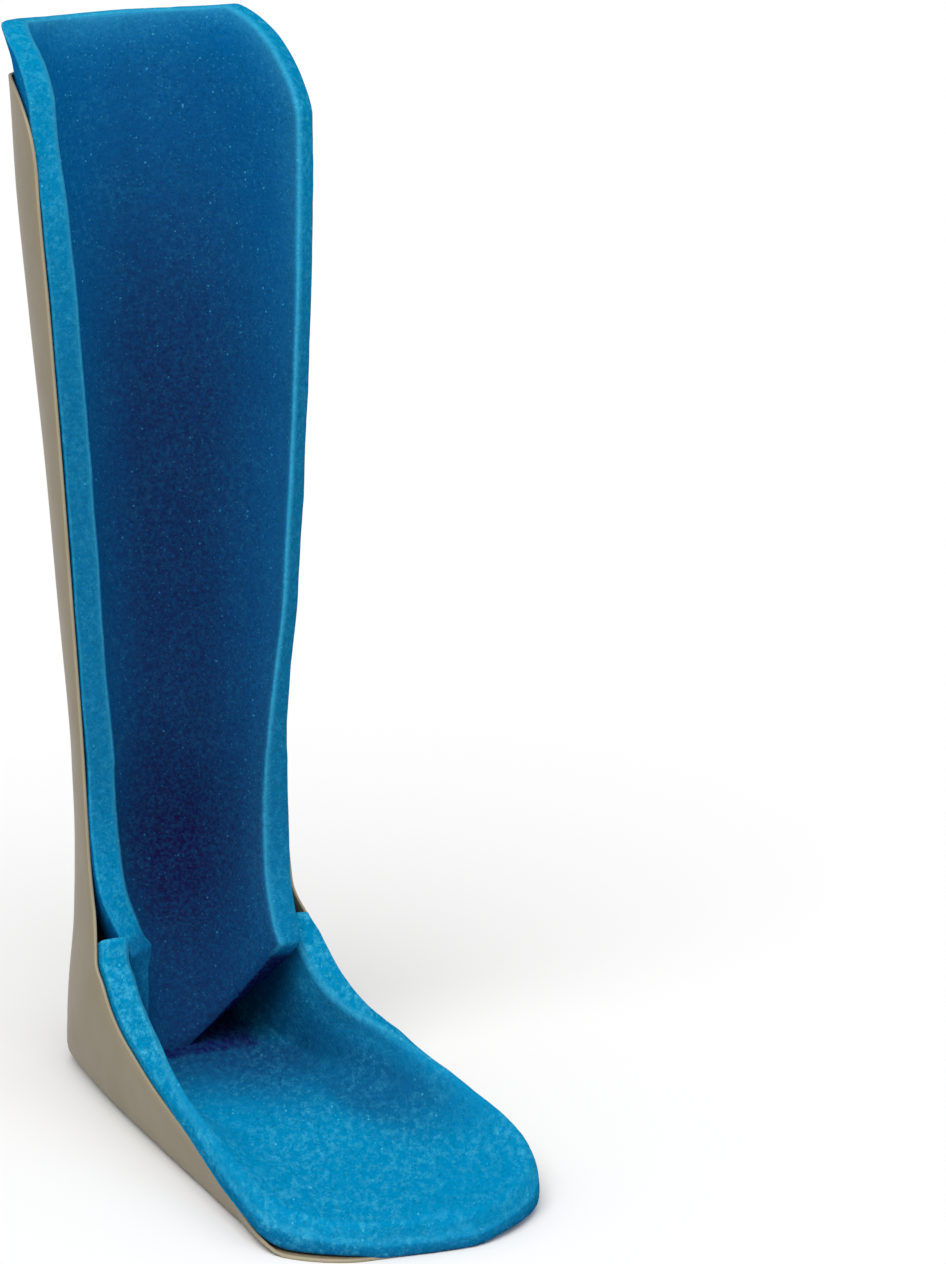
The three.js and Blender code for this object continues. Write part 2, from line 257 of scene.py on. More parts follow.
class ShaderTree:
    """A material's node tree around one Principled shader."""

    # The Mix node's sockets for colours, by number because their names repeat
    MIX_SHARE, MIX_FIRST, MIX_SECOND, MIX_RESULT = 0, 6, 7, 2

    def __init__(self, name: str) -> None:
        """Makes the material and clears its tree.

        Args:
            name: The material's name.
        """
        self.material = bpy.data.materials.new(name)
        self.material.use_nodes = True
        self.tree = self.material.node_tree
        self.tree.nodes.clear()
        self.coords = self.node("ShaderNodeTexCoord", output="Object")

    def node(
        self,
        kind: str,
        settings: Mapping[str, Any] | None = None,
        inputs: Mapping[str | int, Value] | None = None,
        output: str | int = 0,
    ) -> Wire:
        """Adds a node, sets it up and joins it.

        Args:
            kind: The node's type.
            settings: Its own settings, with a ramp's stops as "stops".
            inputs: A value or a link for each of its sockets.
            output: The output to hand back, where the node has one.

        Returns:
            That output.
        """
        made = self.tree.nodes.new(kind)
        for name, value in (settings or {}).items():
            if name == "stops":
                self._set_stops(made.color_ramp, value)
            else:
                setattr(made, name, value)
        for name, value in (inputs or {}).items():
            if isinstance(value, Wire):
                self.tree.links.new(value.socket, made.inputs[name])
            else:
                made.inputs[name].default_value = value
        return Wire(self, made.outputs[output] if len(made.outputs) else None)

    @staticmethod
    def _set_stops(ramp: bpy.types.ColorRamp, stops: Stops) -> None:
        """Sets a ramp's grey stops.

        Args:
            ramp: The ramp.
            stops: Place and grey level of each stop.
        """
        while len(ramp.elements) < len(stops):
            ramp.elements.new(1.0)
        for element, (place, level) in zip(ramp.elements, stops):
            element.position = place
            element.color = (level, level, level, 1.0)

    def stretch(self, run: Sequence[float], turn: float) -> None:
        """Stretches the pattern of every texture that follows.

        Args:
            run: Factor on its length along each of the turned axes.
            turn: Turn of the axes about Z, in degrees.
        """
        inputs = {"Vector": self.coords, "Rotation": (0.0, 0.0, math.radians(turn)), "Scale": run}
        self.coords = self.node("ShaderNodeMapping", {"vector_type": "TEXTURE"}, inputs)

    def mark(self, mark: Mark) -> Wire:
        """Reads a value kept at the points of the mesh."""
        return self.node("ShaderNodeAttribute", {"attribute_name": mark.value}, output="Fac")

    def grain(self, grain: Grain) -> Wire:
        """Adds soft noise.

        Args:
            grain: How the noise looks.

        Returns:
            A value around 0.5, or the level of the noise's stops.
        """
        inputs = {"Vector": self.coords, "Scale": grain.scale, "Detail": grain.detail}
        made = self.node("ShaderNodeTexNoise", {}, {**inputs, "Roughness": grain.roughness}, "Fac")
        return self.ramp(made, grain.stops) if grain.stops else made

    def cells(self, scale: float, output: str = "Distance") -> Wire:
        """Adds cells round many scattered points.

        Args:
            scale: Cells per metre.
            output: The distance to the nearest point, or a random colour for each cell.

        Returns:
            That output.
        """
        return self.node("ShaderNodeTexVoronoi", {}, {"Vector": self.coords, "Scale": scale}, output)

    def specks(self, specks: Specks) -> Wire:
        """Adds scattered dots.

        Args:
            specks: How they look.

        Returns:
            How much each place belongs to a dot.
        """
        lot = self.node("ShaderNodeSeparateColor", {}, {"Color": self.cells(specks.scale, "Color")}, "Red")
        return (lot > specks.lot) * (self.cells(specks.scale) < specks.size) * specks.strength

    def ramp(self, value: Wire, stops: Stops) -> Wire:
        """Remaps a value to the levels of its stops."""
        return self.node("ShaderNodeValToRGB", {"stops": stops}, {"Fac": value}, "Color")

    def mix(self, share: Value, first: Value, second: Value, how: str = "MIX") -> Wire:
        """Mixes two colours.

        Args:
            share: How much of the second.
            first: The first colour.
            second: The second colour.
            how: The blend type.

        Returns:
            The mixed colour.
        """
        settings = {"data_type": "RGBA", "blend_type": how}
        inputs = {self.MIX_SHARE: share, self.MIX_FIRST: first, self.MIX_SECOND: second}
        return self.node("ShaderNodeMix", settings, inputs, self.MIX_RESULT)

    def bump(self, height: Wire, strength: float, distance: float) -> Wire:
        """Turns a height into a normal.

        Args:
            height: The height.
            strength: How strongly it counts.
            distance: Its depth in metres.

        Returns:
            The normal.
        """
        inputs = {"Strength": strength, "Distance": distance, "Height": height}
        return self.node("ShaderNodeBump", {}, inputs, "Normal")

    def surface(self, inputs: Mapping[str | int, Value]) -> bpy.types.Material:
        """Adds the Principled shader and the output.

        Args:
            inputs: A value or a link for each of the shader's sockets.

        Returns:
            The finished material.
        """
        shader = self.node("ShaderNodeBsdfPrincipled", {}, inputs, "BSDF")
        self.node("ShaderNodeOutputMaterial", {}, {"Surface": shader})
        return self.material


@dataclass(frozen=True)
class EnamelFinish:
    """Satin tan enamel on sheet metal, with a paler worn rim."""

    name: str = "tan_enamel"
    coat: Colour = (0.205, 0.165, 0.096, 1.0)
    shadow: Colour = (0.162, 0.13, 0.075, 1.0)
    rim: Colour = (0.36, 0.305, 0.2, 1.0)
    clouds: Grain = Grain(14.0, 4.0, 0.6, ((0.3, 0.0), (0.7, 1.0)))
    cloud_share: float = 0.5
    specks: Specks = Specks(520.0, 0.975, 0.16, 0.35)
    wear: Grain = Grain(90.0, 3.0)
    wear_least: float = 0.55
    wear_more: float = 0.5
    haze: Grain = Grain(60.0, 4.0)
    haze_least: float = 0.42
    haze_more: float = 0.16
    gloss: float = 0.06
    peel: Grain = Grain(900.0, 2.0)
    peel_strength: float = 0.35
    peel_depth: float = 0.00006

    def material(self) -> bpy.types.Material:
        """Builds the material.

        Returns:
            The enamel.
        """
        tree = ShaderTree(self.name)
        coat = tree.mix(tree.grain(self.clouds) * self.cloud_share, self.coat, self.shadow)
        coat = tree.mix(tree.specks(self.specks), coat, self.shadow)
        worn = tree.mark(Mark.RIM) * (self.wear_least + self.wear_more * tree.grain(self.wear))
        return tree.surface({
            "Base Color": tree.mix(worn, coat, self.rim),
            "Roughness": self.haze_least + self.haze_more * tree.grain(self.haze),
            "Metallic": 0.0,
            "Coat Weight": self.gloss,
            "Normal": tree.bump(tree.grain(self.peel), self.peel_strength, self.peel_depth),
        })


@dataclass(frozen=True)
class FoamFinish:
    """Open-cell foam: fine pores, pale flecks and fuzzy cut edges, with painted shade and painted highlights.

    The fields that end in "deep" say how much of an effect the painted shade takes away.
    """

    name: str
    open_face: Colour
    # Dark colour of the painted shade
    hollow: Colour
    cut: Colour
    flecks: float
    mottling: float
    fleck: Colour = (0.06, 0.43, 0.63, 1.0)
    cut_flecks: float = 0.45
    cut_deep: float = 0.62
    mottle: Grain = Grain(640.0, 3.0, 0.6, ((0.42, 0.0), (0.64, 1.0)))
    fluff: Grain = Grain(620.0, 4.0, 0.7)
    pore_scale: float = 820.0
    pore_middle: float = 0.5
    pore_shade: float = 0.3
    shade: Stops = ((0.22, 0.7), (0.5, 1.0), (0.78, 1.0))
    specks: Specks = Specks(330.0, 0.89, 0.15, 0.7)
    dust: Specks = Specks(720.0, 0.84, 0.26, 0.32)
    speck_deep: float = 0.65
    tufts: Grain = Grain(360.0, 6.0, 0.82, ((0.48, 0.0), (0.66, 1.0)))
    tuft_deep: float = 0.8
    drift: Grain = Grain(45.0, 2.0, 0.5, ((0.35, 0.25), (0.65, 1.0)))
    # Pale rim along the edges: fuzz of the cut foam, partly painted highlight
    rim_least: float = 0.12
    rim_fluff: float = 0.6
    pore_bump: float = 0.8
    bump_strength: float = 0.3
    bump_depth: float = 0.0006
    grain_run: tuple[float, float, float] = (1.0, 1.0, 1.0)
    grain_turn: float = 0.0

    def material(self) -> bpy.types.Material:
        """Builds the material.

        Returns:
            The foam.
        """
        tree = ShaderTree(self.name)
        tree.stretch(self.grain_run, self.grain_turn)
        # deep is the painted shade mark
        deep, cut = tree.mark(Mark.PAINTED_SHADE), tree.mark(Mark.CUT)
        pores, fluff = tree.cells(self.pore_scale), tree.grain(self.fluff)
        # Painted shade: the dark shade colour mixed in by that mark, broken up a little by mottling
        mottled = deep * (1.0 - self.mottling * tree.grain(self.mottle))
        body = tree.mix(mottled, self.open_face, self.hollow)
        # The cut colour gives way to painted shade
        body = tree.mix(cut * (1.0 - self.cut_deep * deep), body, self.cut)
        shade = tree.ramp(fluff + (pores - self.pore_middle) * self.pore_shade, self.shade)
        body = tree.mix(1.0, body, shade, "MULTIPLY")
        tufts = tree.grain(self.tufts) * (tree.grain(self.drift) * self.flecks + cut * self.cut_flecks)
        # Pale specks and tufts fade under painted shade
        dots = tree.specks(self.specks) + tree.specks(self.dust)
        pale = dots * (1.0 - self.speck_deep * deep) + tufts * (1.0 - self.tuft_deep * deep)
        body = tree.mix(pale, body, self.fleck)
        # Rim: pale fuzz along the cut edges, partly painted highlight
        body = tree.mix(tree.mark(Mark.RIM) * (self.rim_least + self.rim_fluff * fluff), body, self.fleck)
        return tree.surface({
            "Base Color": body,
            "Roughness": 0.95,
            "Specular IOR Level": 0.0,
            "Normal": tree.bump(fluff + pores * self.pore_bump, self.bump_strength, self.bump_depth),
        })


@dataclass(frozen=True)
class FloorFinish:
    """Plain pale matt floor."""

    name: str = "pale_floor"
    colour: Colour = (0.86, 0.86, 0.86, 1.0)
    shadow: Colour = (0.8, 0.8, 0.8, 1.0)
    clouds: Grain = Grain(3.0, 2.0)
    cloud_share: float = 0.02

    def material(self) -> bpy.types.Material:
        """Builds the material.

        Returns:
            The floor's finish.
        """
        tree = ShaderTree(self.name)
        clouds = tree.grain(self.clouds) * self.cloud_share
        return tree.surface({
            "Base Color": tree.mix(clouds, self.colour, self.shadow),
            "Roughness": 0.9,
            "Specular IOR Level": 0.1,
        })


@dataclass(frozen=True)
class Rib:
    """One section: a flat-backed U in the plane from its base on the centre line to its free edges.

    half is half its width and flat half its flat back. close is the power of its sides' curve, 2 for an ellipse
    and 1 for a parabola. swing shifts it to the left, drift shifts its base only, and skew is how far its right
    edge runs ahead of its centre. toe is how far it is into the toe's bow. The normal is the centre line's, and
    the trims are what corners take off its sides.
    """

    base_y: float
    base_z: float
    edge_y: float
    edge_z: float
    half: float
    flat: float
    close: float
    swing: float
    skew: float = 0.0
    drift: float = 0.0
    toe: float = 0.0
    normal_y: float = 0.0
    normal_z: float = 0.0
    trim_left: float = 0.0
    trim_right: float = 0.0

    SAMPLES = 120
    EDGE_FACETS = 7
    TIGHTEST_BEND = 2.0
    TOE_BOW = 8.0
    TOE_SLANT = 4.0

    @property
    def depth(self) -> float:
        """Depth of the section from its base to its free edges."""
        return math.hypot(self.edge_y - self.base_y, self.edge_z - self.base_z)

    @property
    def facing(self) -> tuple[float, float]:
        """Direction from the base to the free edges, along Y and Z."""
        return (self.edge_y - self.base_y) / self.depth, (self.edge_z - self.base_z) / self.depth

    @property
    def length(self) -> float:
        """Length of one side before any corner is taken off."""
        return float(self.run()[0][-1])

    def run(self) -> tuple[np.ndarray, np.ndarray]:
        """Measures one side from the centre line to its free edge.

        Returns:
            The length up to each sample, and the samples as rows of [across, deep].
        """
        reach = np.sin(np.linspace(0.0, math.pi / 2, self.SAMPLES + 1))
        deep = self.depth * (1.0 - np.maximum(0.0, 1.0 - reach**2) ** (1.0 / self.close))
        across = self.flat + (self.half - self.flat) * reach
        samples = np.vstack([[0.0, 0.0], np.column_stack([across, deep])])
        steps = np.hypot(*np.diff(samples, axis=0).T)
        return np.concatenate([[0.0], np.cumsum(steps)]), samples

    def edge_tangent(self) -> tuple[float, float]:
        """Finds how the section runs at its free edge.

        Returns:
            The share of its run that goes across, and the share that goes deep.
        """
        run, samples = self.run()
        start = self.flat + (run[-1] - self.flat) * (1.0 - 1.0 / self.EDGE_FACETS)
        across, deep = (samples[-1, axis] - np.interp(start, run, samples[:, axis]) for axis in (0, 1))
        size = math.hypot(across, deep)
        return across / size, deep / size

    def inset(self, thickness: float) -> "Rib":
        """Moves the section inwards.

        Args:
            thickness: How far.

        Returns:
            The moved section.
        """
        face_y, face_z = self.facing
        across, deep = self.edge_tangent()
        shift = thickness / (face_y * self.normal_y + face_z * self.normal_z)
        half = self.half - thickness * deep
        return replace(
            self,
            base_y=self.base_y + face_y * shift,
            base_z=self.base_z + face_z * shift,
            edge_y=self.edge_y + face_y * thickness * across,
            edge_z=self.edge_z + face_z * thickness * across,
            half=half,
            flat=min(self.flat, half - self.TIGHTEST_BEND),
        )

    def extend(self, past: float) -> "Rib":
        """Runs the free edges on.

        Args:
            past: How far.

        Returns:
            The longer section.
        """
        face_y, face_z = self.facing
        across, deep = self.edge_tangent()
        return replace(
            self,
            edge_y=self.edge_y + face_y * past * deep,
            edge_z=self.edge_z + face_z * past * deep,
            half=self.half + past * across,
        )

    def points(self, shares: np.ndarray) -> np.ndarray:
        """Finds points of the section.

        Args:
            shares: Places across it.

        Returns:
            A row of [x, y, z] for each place.
        """
        run, samples = self.run()
        trim = np.where(shares < 0, self.trim_left, self.trim_right)
        along = np.abs(shares) * (run[-1] - trim)
        across = np.interp(along, run, samples[:, 0]) * np.sign(shares)
        deep = np.interp(along, run, samples[:, 1])
        face_y, face_z = self.facing
        share = across / self.half
        bowed = self.toe**2 * (self.TOE_BOW * share**2 + self.TOE_SLANT * share)
        skewed = self.skew * share * deep / self.depth
        return np.column_stack([
            across - self.swing - self.drift * (1.0 - deep / self.depth),
            self.base_y + face_y * deep + bowed - skewed,
            self.base_z + face_z * deep,
        ])


class RibCurve:
    """Smooth run of sections through the rows of a table, never swinging past a row."""

    SLOPE_STEP = 0.02
    COLUMNS = ("base_y", "base_z", "edge_y", "edge_z", "half", "flat", "close", "swing", "skew", "drift")

    def __init__(self, rows: Sequence[Rib], toe_from: float | None = None) -> None:
        """Works out the slopes at the rows.

        Args:
            rows: The sections.
            toe_from: Row where the toe's bow begins, where there is a toe.
        """
        self.values = np.array([[getattr(row, name) for name in self.COLUMNS] for row in rows], float)
        self.last = len(rows) - 1
        self.toe_from = toe_from
        self.rise = np.diff(self.values, axis=0)
        before, after = self.rise[:-1], self.rise[1:]
        total = np.where(before * after > 0, before + after, 1.0)
        inner = np.where(before * after > 0, 2.0 * before * after / total, 0.0)
        self.slope = np.vstack([self.rise[:1], inner, self.rise[-1:]])

    def row(self, place: float) -> np.ndarray:
        """Interpolates every column.

        Args:
            place: Place along the table, in rows.

        Returns:
            The columns' values there.
        """
        k = int(min(math.floor(place), self.last - 1))
        t = place - k
        start = self.slope[k] * t * (1.0 - t) ** 2
        end = self.slope[k + 1] * t**2 * (1.0 - t)
        return self.values[k] + self.rise[k] * t * t * (3.0 - 2.0 * t) + start - end

    def at(self, place: float) -> Rib:
        """Finds the section at a place.

        Args:
            place: Place along the table, in rows.

        Returns:
            The section.
        """
        low, high = max(place - self.SLOPE_STEP, 0.0), min(place + self.SLOPE_STEP, float(self.last))
        along = self.row(high) - self.row(low)
        size = math.hypot(along[0], along[1])
        toe = 0.0
        if self.toe_from is not None:
            toe = max(0.0, (place - self.toe_from) / (self.last - self.toe_from))
        named = dict(zip(self.COLUMNS, (float(v) for v in self.row(place))))
        return Rib(**named, toe=toe, normal_y=along[1] / size, normal_z=-along[0] / size)


class CentreLine:
    """The line through the bases of a run of sections, measured from its start."""

    SAMPLES = 900

    def __init__(self, curve: RibCurve, start: float = 0.0, end: float | None = None) -> None:
        """Measures the line.

        Args:
            curve: The sections.
            start: First place, in rows.
            end: Last place, in rows, where it isn't the last row.
        """
        self.curve = curve
        self.places = np.linspace(start, curve.last if end is None else end, self.SAMPLES)
        bases = np.array([curve.row(place)[:2] for place in self.places])
        steps = np.hypot(*np.diff(bases, axis=0).T)
        self.lengths = np.concatenate([[0.0], np.cumsum(steps)])
        self.total = float(self.lengths[-1])

    def place(self, length: float) -> float:
        """Place in rows at a length along the line."""
        return float(np.interp(length, self.lengths, self.places))

    def rib(self, length: float) -> Rib:
        """Section at a length along the line."""
        return self.curve.at(self.place(length))


@dataclass
class SplintForm:
    """Sections of the sheet from above the calf to the toe."""

    shell_height: float = 16 * INCH
    foot_length: float = 293.0
    calf_lean: float = 0.1625
    calf_flat: float = 6.0
    lean_start: float = 120.0
    ankle_back: float = -3.5
    pad_rise: float = 20.0
    top_row: int = 1
    mitre_row: int = 10
    heel_row: int = 9
    ankle_row: int = 6
    toe_row: int = 16

    def calf(self, height: float, edge_y: float, half: float, close: float, swing: float) -> Rib:
        """Section of the calf, square to its leaning back.

        Args:
            height: Height of its base.
            edge_y: Y of its free edges.
            half: Half its width.
            close: Power of its sides' curve.
            swing: Shift to the left.

        Returns:
            The section.
        """
        back = self.ankle_back + self.calf_lean * max(0.0, height - self.lean_start)
        edge_z = height + self.calf_lean * (back - edge_y)
        return Rib(back, height, edge_y, edge_z, half, self.calf_flat, close, swing)

    def sections(self) -> RibCurve:
        """Lists the sections.

        Returns:
            The run of sections.
        """
        rows = [
            self.calf(self.shell_height + self.pad_rise, -25, 66.5, 2, -3),
            self.calf(self.shell_height, -28, 63.9, 2, -5.1),
            self.calf(363, -33, 62.5, 2, -4.5),
            self.calf(310, -40, 59.4, 1.9, -3.6),
            self.calf(250, -45, 55.5, 1.7, -2.9),
            self.calf(190, -50, 51.4, 1.6, -1.6),
            Rib(-3, 132, -56, 138, 46.6, 7, 1.45, 1),
            Rib(-3, 98, -60, 105, 45.9, 8, 1.36, 1.3),
            Rib(-2, 58, -65.5, 81, 45.9, 11, 1.36, 1.4),
            Rib(-0.8, 27, -71, 66, 49.2, 16, 1.42, -0.3),
            Rib(-4, 7, -75.5, 57, 51.9, 21, 1.42, -1.5),
            Rib(-15, 0, -80, 52, 52.1, 30, 1.5, -1.9),
            Rib(-42, 0, -92, 44.5, 52.9, 35, 1.6, -0.6),
            Rib(-88, 0, -114, 36.5, 54.5, 42, 1.65, 1),
            Rib(-138, 0, -145, 28.5, 59.1, 50, 1.55, -0.1),
            Rib(-184, 0, -184, 20, 63.7, 57.5, 1.5, -1.7),
            Rib(-228, 0, -228, 10, 66.2, 61, 1.3, -0.2),
            Rib(-262, 0, -262, 4, 62.5, 58, 1.15, 7),
            Rib(-self.foot_length, 0, -self.foot_length, 1.2, 58.5, 54, 1, 10.5),
        ]
        return RibCurve(rows, toe_from=self.toe_row)


class MeshMaker:
    """Collects points, faces and marks, and makes the object."""

    def __init__(self) -> None:
        """Starts empty."""
        self.points: list[np.ndarray] = []
        self.faces: list[tuple[int, ...]] = []
        self.marks: dict[Mark, list[np.ndarray]] = {mark: [] for mark in Mark}
        self.count = 0

    def add(self, points: np.ndarray, **marks: np.ndarray | float) -> np.ndarray:
        """Adds points.

        Args:
            points: Rows of [x, y, z] in millimetres.
            **marks: Value of each mark at the points.

        Returns:
            Their indices.
        """
        first = self.count
        self.points.append(np.asarray(points, float))
        for mark in Mark:
            value = marks.get(mark.value, 0.0)
            self.marks[mark].append(np.broadcast_to(np.asarray(value, float), (len(points),)))
        self.count += len(points)
        return np.arange(first, self.count)

    def bridge(self, ring: np.ndarray, after: np.ndarray, pairs: Pairs, turned: bool = False) -> None:
        """Joins two rows of points with four-sided faces.

        Args:
            ring: Indices of one row's points.
            after: Indices of the other's.
            pairs: Places in the rows that are next to each other.
            turned: Whether the faces look the other way.
        """
        for n, m in pairs:
            sides = [ring[m], after[m], after[n]]
            self.faces.append(tuple(int(k) for k in [ring[n], *(sides[::-1] if turned else sides)]))

    def build(self, name: str) -> bpy.types.Object:
        """Makes a smooth mesh object in the frame.

        Args:
            name: The object's name.

        Returns:
            The object.
        """
        points = (np.vstack(self.points) + np.array(HEEL_IN_FRAME)) * MM
        mesh = bpy.data.meshes.new(name)
        mesh.from_pydata(points.tolist(), [], self.faces)
        mesh.validate()
        for mark in Mark:
            values = np.concatenate(self.marks[mark]).astype(np.float32)
            mesh.attributes.new(mark.value, "FLOAT", "POINT").data.foreach_set("value", values)
        mesh.polygons.foreach_set("use_smooth", [True] * len(mesh.polygons))
        mesh.update()
        return link(name, mesh)


def round_pairs(count: int) -> Pairs:
    """Neighbours in a closed row of points."""
    return [(n, (n + 1) % count) for n in range(count)]


def dress(piece: bpy.types.Object, material: bpy.types.Material, slot: Slot, *nodes: str) -> None:
    """Finishes a piece and ties it to the frame.

    Args:
        piece: The piece.
        material: Its finish.
        slot: The record's slot of that finish. Not used.
        *nodes: Solids that it stands for.
    """
    piece.data.materials.append(material)
    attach(piece, "root")
    if nodes:
        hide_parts(*nodes)
    LOG.info("%s: %d points, %d faces", piece.name, len(piece.data.vertices), len(piece.data.polygons))


@dataclass
class HoleField:
    """Staggered field of holes in the flat sheet."""

    rows: int
    start: float
    columns: int = 7
    pitch: float = 0.75 * INCH
    radius: float = INCH / 8

    def holes(self) -> list[tuple[float, float, float]]:
        """Lists the holes.

        Returns:
            Distance from the centre line, distance along it, and radius of each.
        """
        holes = []
        for column in range(self.columns):
            across = (column - (self.columns - 1) / 2) * self.pitch / 2
            for row in range(self.rows):
                along = self.start + (row + 0.5 * (column % 2)) * self.pitch
                holes.append((across, along, self.radius))
        return holes


@dataclass
class Shell:
    """The sheet-metal trough with its perforations, rolled rim and weld."""

    form: SplintForm
    sheet: float = 1.5
    calf_corner: float = 40.0
    toe_corner: float = 32.0
    toe_right: float = 46.0
    columns: int = 43
    row_step: float = 4.2
    corner_steps: int = 12
    chart_rows: int = 640
    chart_columns: int = 181
    chart_ends: tuple[float, float] = (6.0, 5.0)
    chart_end_rows: int = 24
    hole_sides: int = 24
    hole_collar: float = 1.7
    hole_clear: float = 2.72
    hole_inside: float = 0.995
    join_within: float = 1e-5
    hang_drop: float = 14.0
    hang_radius: float = 4.4
    leg_rows: int = 16
    leg_drop: float = 44.0
    sole_rows: int = 8
    sole_start: float = 93.0
    sole_fall: float = 1e-6
    rim_steps: int = 4
    rim_round: float = 0.55
    rim_look: float = 0.4
    rim_spread: float = 0.25
    weld_radius: float = 2.0
    weld_lift: float = 1.3
    weld_reach: float = 0.95
    weld_rings: int = 121
    weld_sides: int = 10
    weld_up: tuple[float, float, float] = (0.0, 0.6, 0.8)
    weld_ripple: float = 0.1
    weld_ripple_turn: float = 1.9
    weld_tip: float = 0.35
    weld_swell: float = 0.3
    finish: EnamelFinish = field(default_factory=EnamelFinish)

    TRIANGLES_INSIDE = 1

    def __post_init__(self) -> None:
        """Measures the sheet and charts it."""
        self.line = CentreLine(self.form.sections(), self.form.top_row)
        self._chart()

    def _rib(self, along: float) -> Rib:
        """Section of the outer face, with its corners taken off.

        Args:
            along: Distance from the top along the centre line.

        Returns:
            The section.
        """
        ahead = self.line.total - along
        top = Corner.ROUND.trim(self.calf_corner, along)
        left, right = (Corner.ROUND.trim(size, ahead) for size in (self.toe_corner, self.toe_right))
        return replace(self.line.rib(along), trim_left=top + left, trim_right=top + right)

    def _chart(self) -> None:
        """Charts both faces on a fine grid, so that any place on the flat sheet can be looked up."""
        total, (top, toe) = self.line.total, self.chart_ends
        self.chart_along = np.unique(np.concatenate([
            np.linspace(0.0, total, self.chart_rows),
            np.linspace(0.0, top, self.chart_end_rows),
            np.linspace(total - toe, total, self.chart_end_rows),
        ]))
        self.chart_shares = np.linspace(-1.0, 1.0, self.chart_columns)
        ribs = [self._rib(along) for along in self.chart_along]
        self.chart_outer = np.array([rib.points(self.chart_shares) for rib in ribs])
        self.chart_inner = np.array([rib.inset(self.sheet).points(self.chart_shares) for rib in ribs])
        self.chart_width = np.array([rib.length - rib.trim_left for rib in ribs])

    def _width(self, along: np.ndarray | float) -> np.ndarray:
        """Half the sheet's flat width at a distance from the top."""
        return np.interp(along, self.chart_along, self.chart_width)

    @staticmethod
    def _between(steps: np.ndarray, values: np.ndarray) -> tuple[np.ndarray, np.ndarray]:
        """Finds where values lie among the steps of a chart.

        Args:
            steps: The chart's steps.
            values: The values.

        Returns:
            The step before each, and how far it is towards the next.
        """
        before = np.clip(np.searchsorted(steps, values) - 1, 0, len(steps) - 2)
        return before, ((values - steps[before]) / (steps[before + 1] - steps[before]))[:, None]

    def _faces_at(self, flat: np.ndarray) -> list[np.ndarray]:
        """Looks places of the flat sheet up on the bent one.

        Args:
            flat: Rows of [across, along].

        Returns:
            Their points on the outer face and on the inner face.
        """
        share = np.clip(flat[:, 0] / self._width(flat[:, 1]), -1.0, 1.0)
        i, a = self._between(self.chart_along, np.clip(flat[:, 1], 0.0, self.line.total))
        j, b = self._between(self.chart_shares, share)
        found = []
        for chart in (self.chart_outer, self.chart_inner):
            near = chart[i, j] * (1 - b) + chart[i, j + 1] * b
            far = chart[i + 1, j] * (1 - b) + chart[i + 1, j + 1] * b
            found.append(near * (1 - a) + far * a)
        return found

    def _holes(self) -> np.ndarray:
        """Lists every hole of the sheet.

        Returns:
            Rows of distance from the centre line, distance along it, and radius.
        """
        line = self.line
        base_y = np.array([line.curve.at(place).base_y for place in line.places])
        # A tiny fall keeps the values apart where the back is upright
        base_y -= self.sole_fall * np.arange(len(base_y))
        sole = float(np.interp(-self.sole_start, base_y[::-1], line.lengths[::-1]))
        fields = HoleField(self.leg_rows, self.leg_drop), HoleField(self.sole_rows, sole)
        return np.array([*fields[0].holes(), *fields[1].holes(), (0.0, self.hang_drop, self.hang_radius)])

    def _rows(self) -> np.ndarray:
        """Finds where the rows of points lie, closer together in the corners.

        Returns:
            Their distances from the top.
        """
        top = corner_rows(self.calf_corner, self.corner_steps)
        toe = self.line.total - corner_rows(self.toe_corner, self.corner_steps)[::-1]
        count = int((toe[0] - top[-1]) / self.row_step)
        return np.concatenate([top, np.linspace(top[-1], toe[0], count)[1:-1], toe])

    def _flat_points(self, holes: np.ndarray) -> tuple[list[tuple[float, float]], Pairs]:
        """Lays points out on the flat sheet, clear of its holes, and rings of points round them.

        Args:
            holes: The holes.

        Returns:
            The points, and the edges along the sheet's border and round its holes.
        """
        shares = np.linspace(-1.0, 1.0, self.columns)
        grid = np.array([[(share * self._width(row), row) for share in shares] for row in self._rows()])
        flat = grid.reshape(-1, 2)
        border = np.ones(grid.shape[:2], bool)
        border[1:-1, 1:-1] = False
        gap = np.linalg.norm(flat[:, None] - holes[None, :, :2], axis=2) - holes[None, :, 2]
        keep = border.ravel() | (gap.min(axis=1) > self.hole_clear)
        number = np.full(len(flat), -1)
        number[keep] = np.arange(keep.sum())
        points = [tuple(p) for p in flat[keep]]
        index = number.reshape(border.shape)
        loop = [*index[0], *index[1:, -1], *index[-1, -2::-1], *index[-2:0:-1, 0]]
        edges = [(int(a), int(b)) for a, b in zip(loop, loop[1:] + loop[:1])]
        for across, along, radius in holes:
            edges += [(len(points) + n, len(points) + m) for n, m in round_pairs(self.hole_sides)]
            for size, turn in ((radius, 0.0), (radius + self.hole_collar, 0.5)):
                for k in range(self.hole_sides):
                    angle = 2 * math.pi * (k + turn) / self.hole_sides
                    points.append((across + size * math.cos(angle), along + size * math.sin(angle)))
        return points, edges

    def _flat_pattern(self) -> tuple[np.ndarray, Triangles]:
        """Cuts the flat sheet into triangles around its holes.

        Returns:
            Points of the flat sheet, and its triangles, all wound the same way.
        """
        holes = self._holes()
        points, edges = self._flat_points(holes)
        corners = [Vector(p) for p in points]
        made = geometry.delaunay_2d_cdt(corners, edges, [], self.TRIANGLES_INSIDE, self.join_within)
        flat = np.array([tuple(p) for p in made[0]])
        triangles = []
        for a, b, c in made[2]:
            middle = flat[[a, b, c]].mean(axis=0)
            if (np.linalg.norm(holes[:, :2] - middle, axis=1) < holes[:, 2] * self.hole_inside).any():
                continue
            wound = np.cross(flat[b] - flat[a], flat[c] - flat[a]) > 0
            triangles.append((a, b, c) if wound else (a, c, b))
        used = sorted({k for face in triangles for k in face})
        number = {k: n for n, k in enumerate(used)}
        return flat[used], [tuple(number[k] for k in face) for face in triangles]

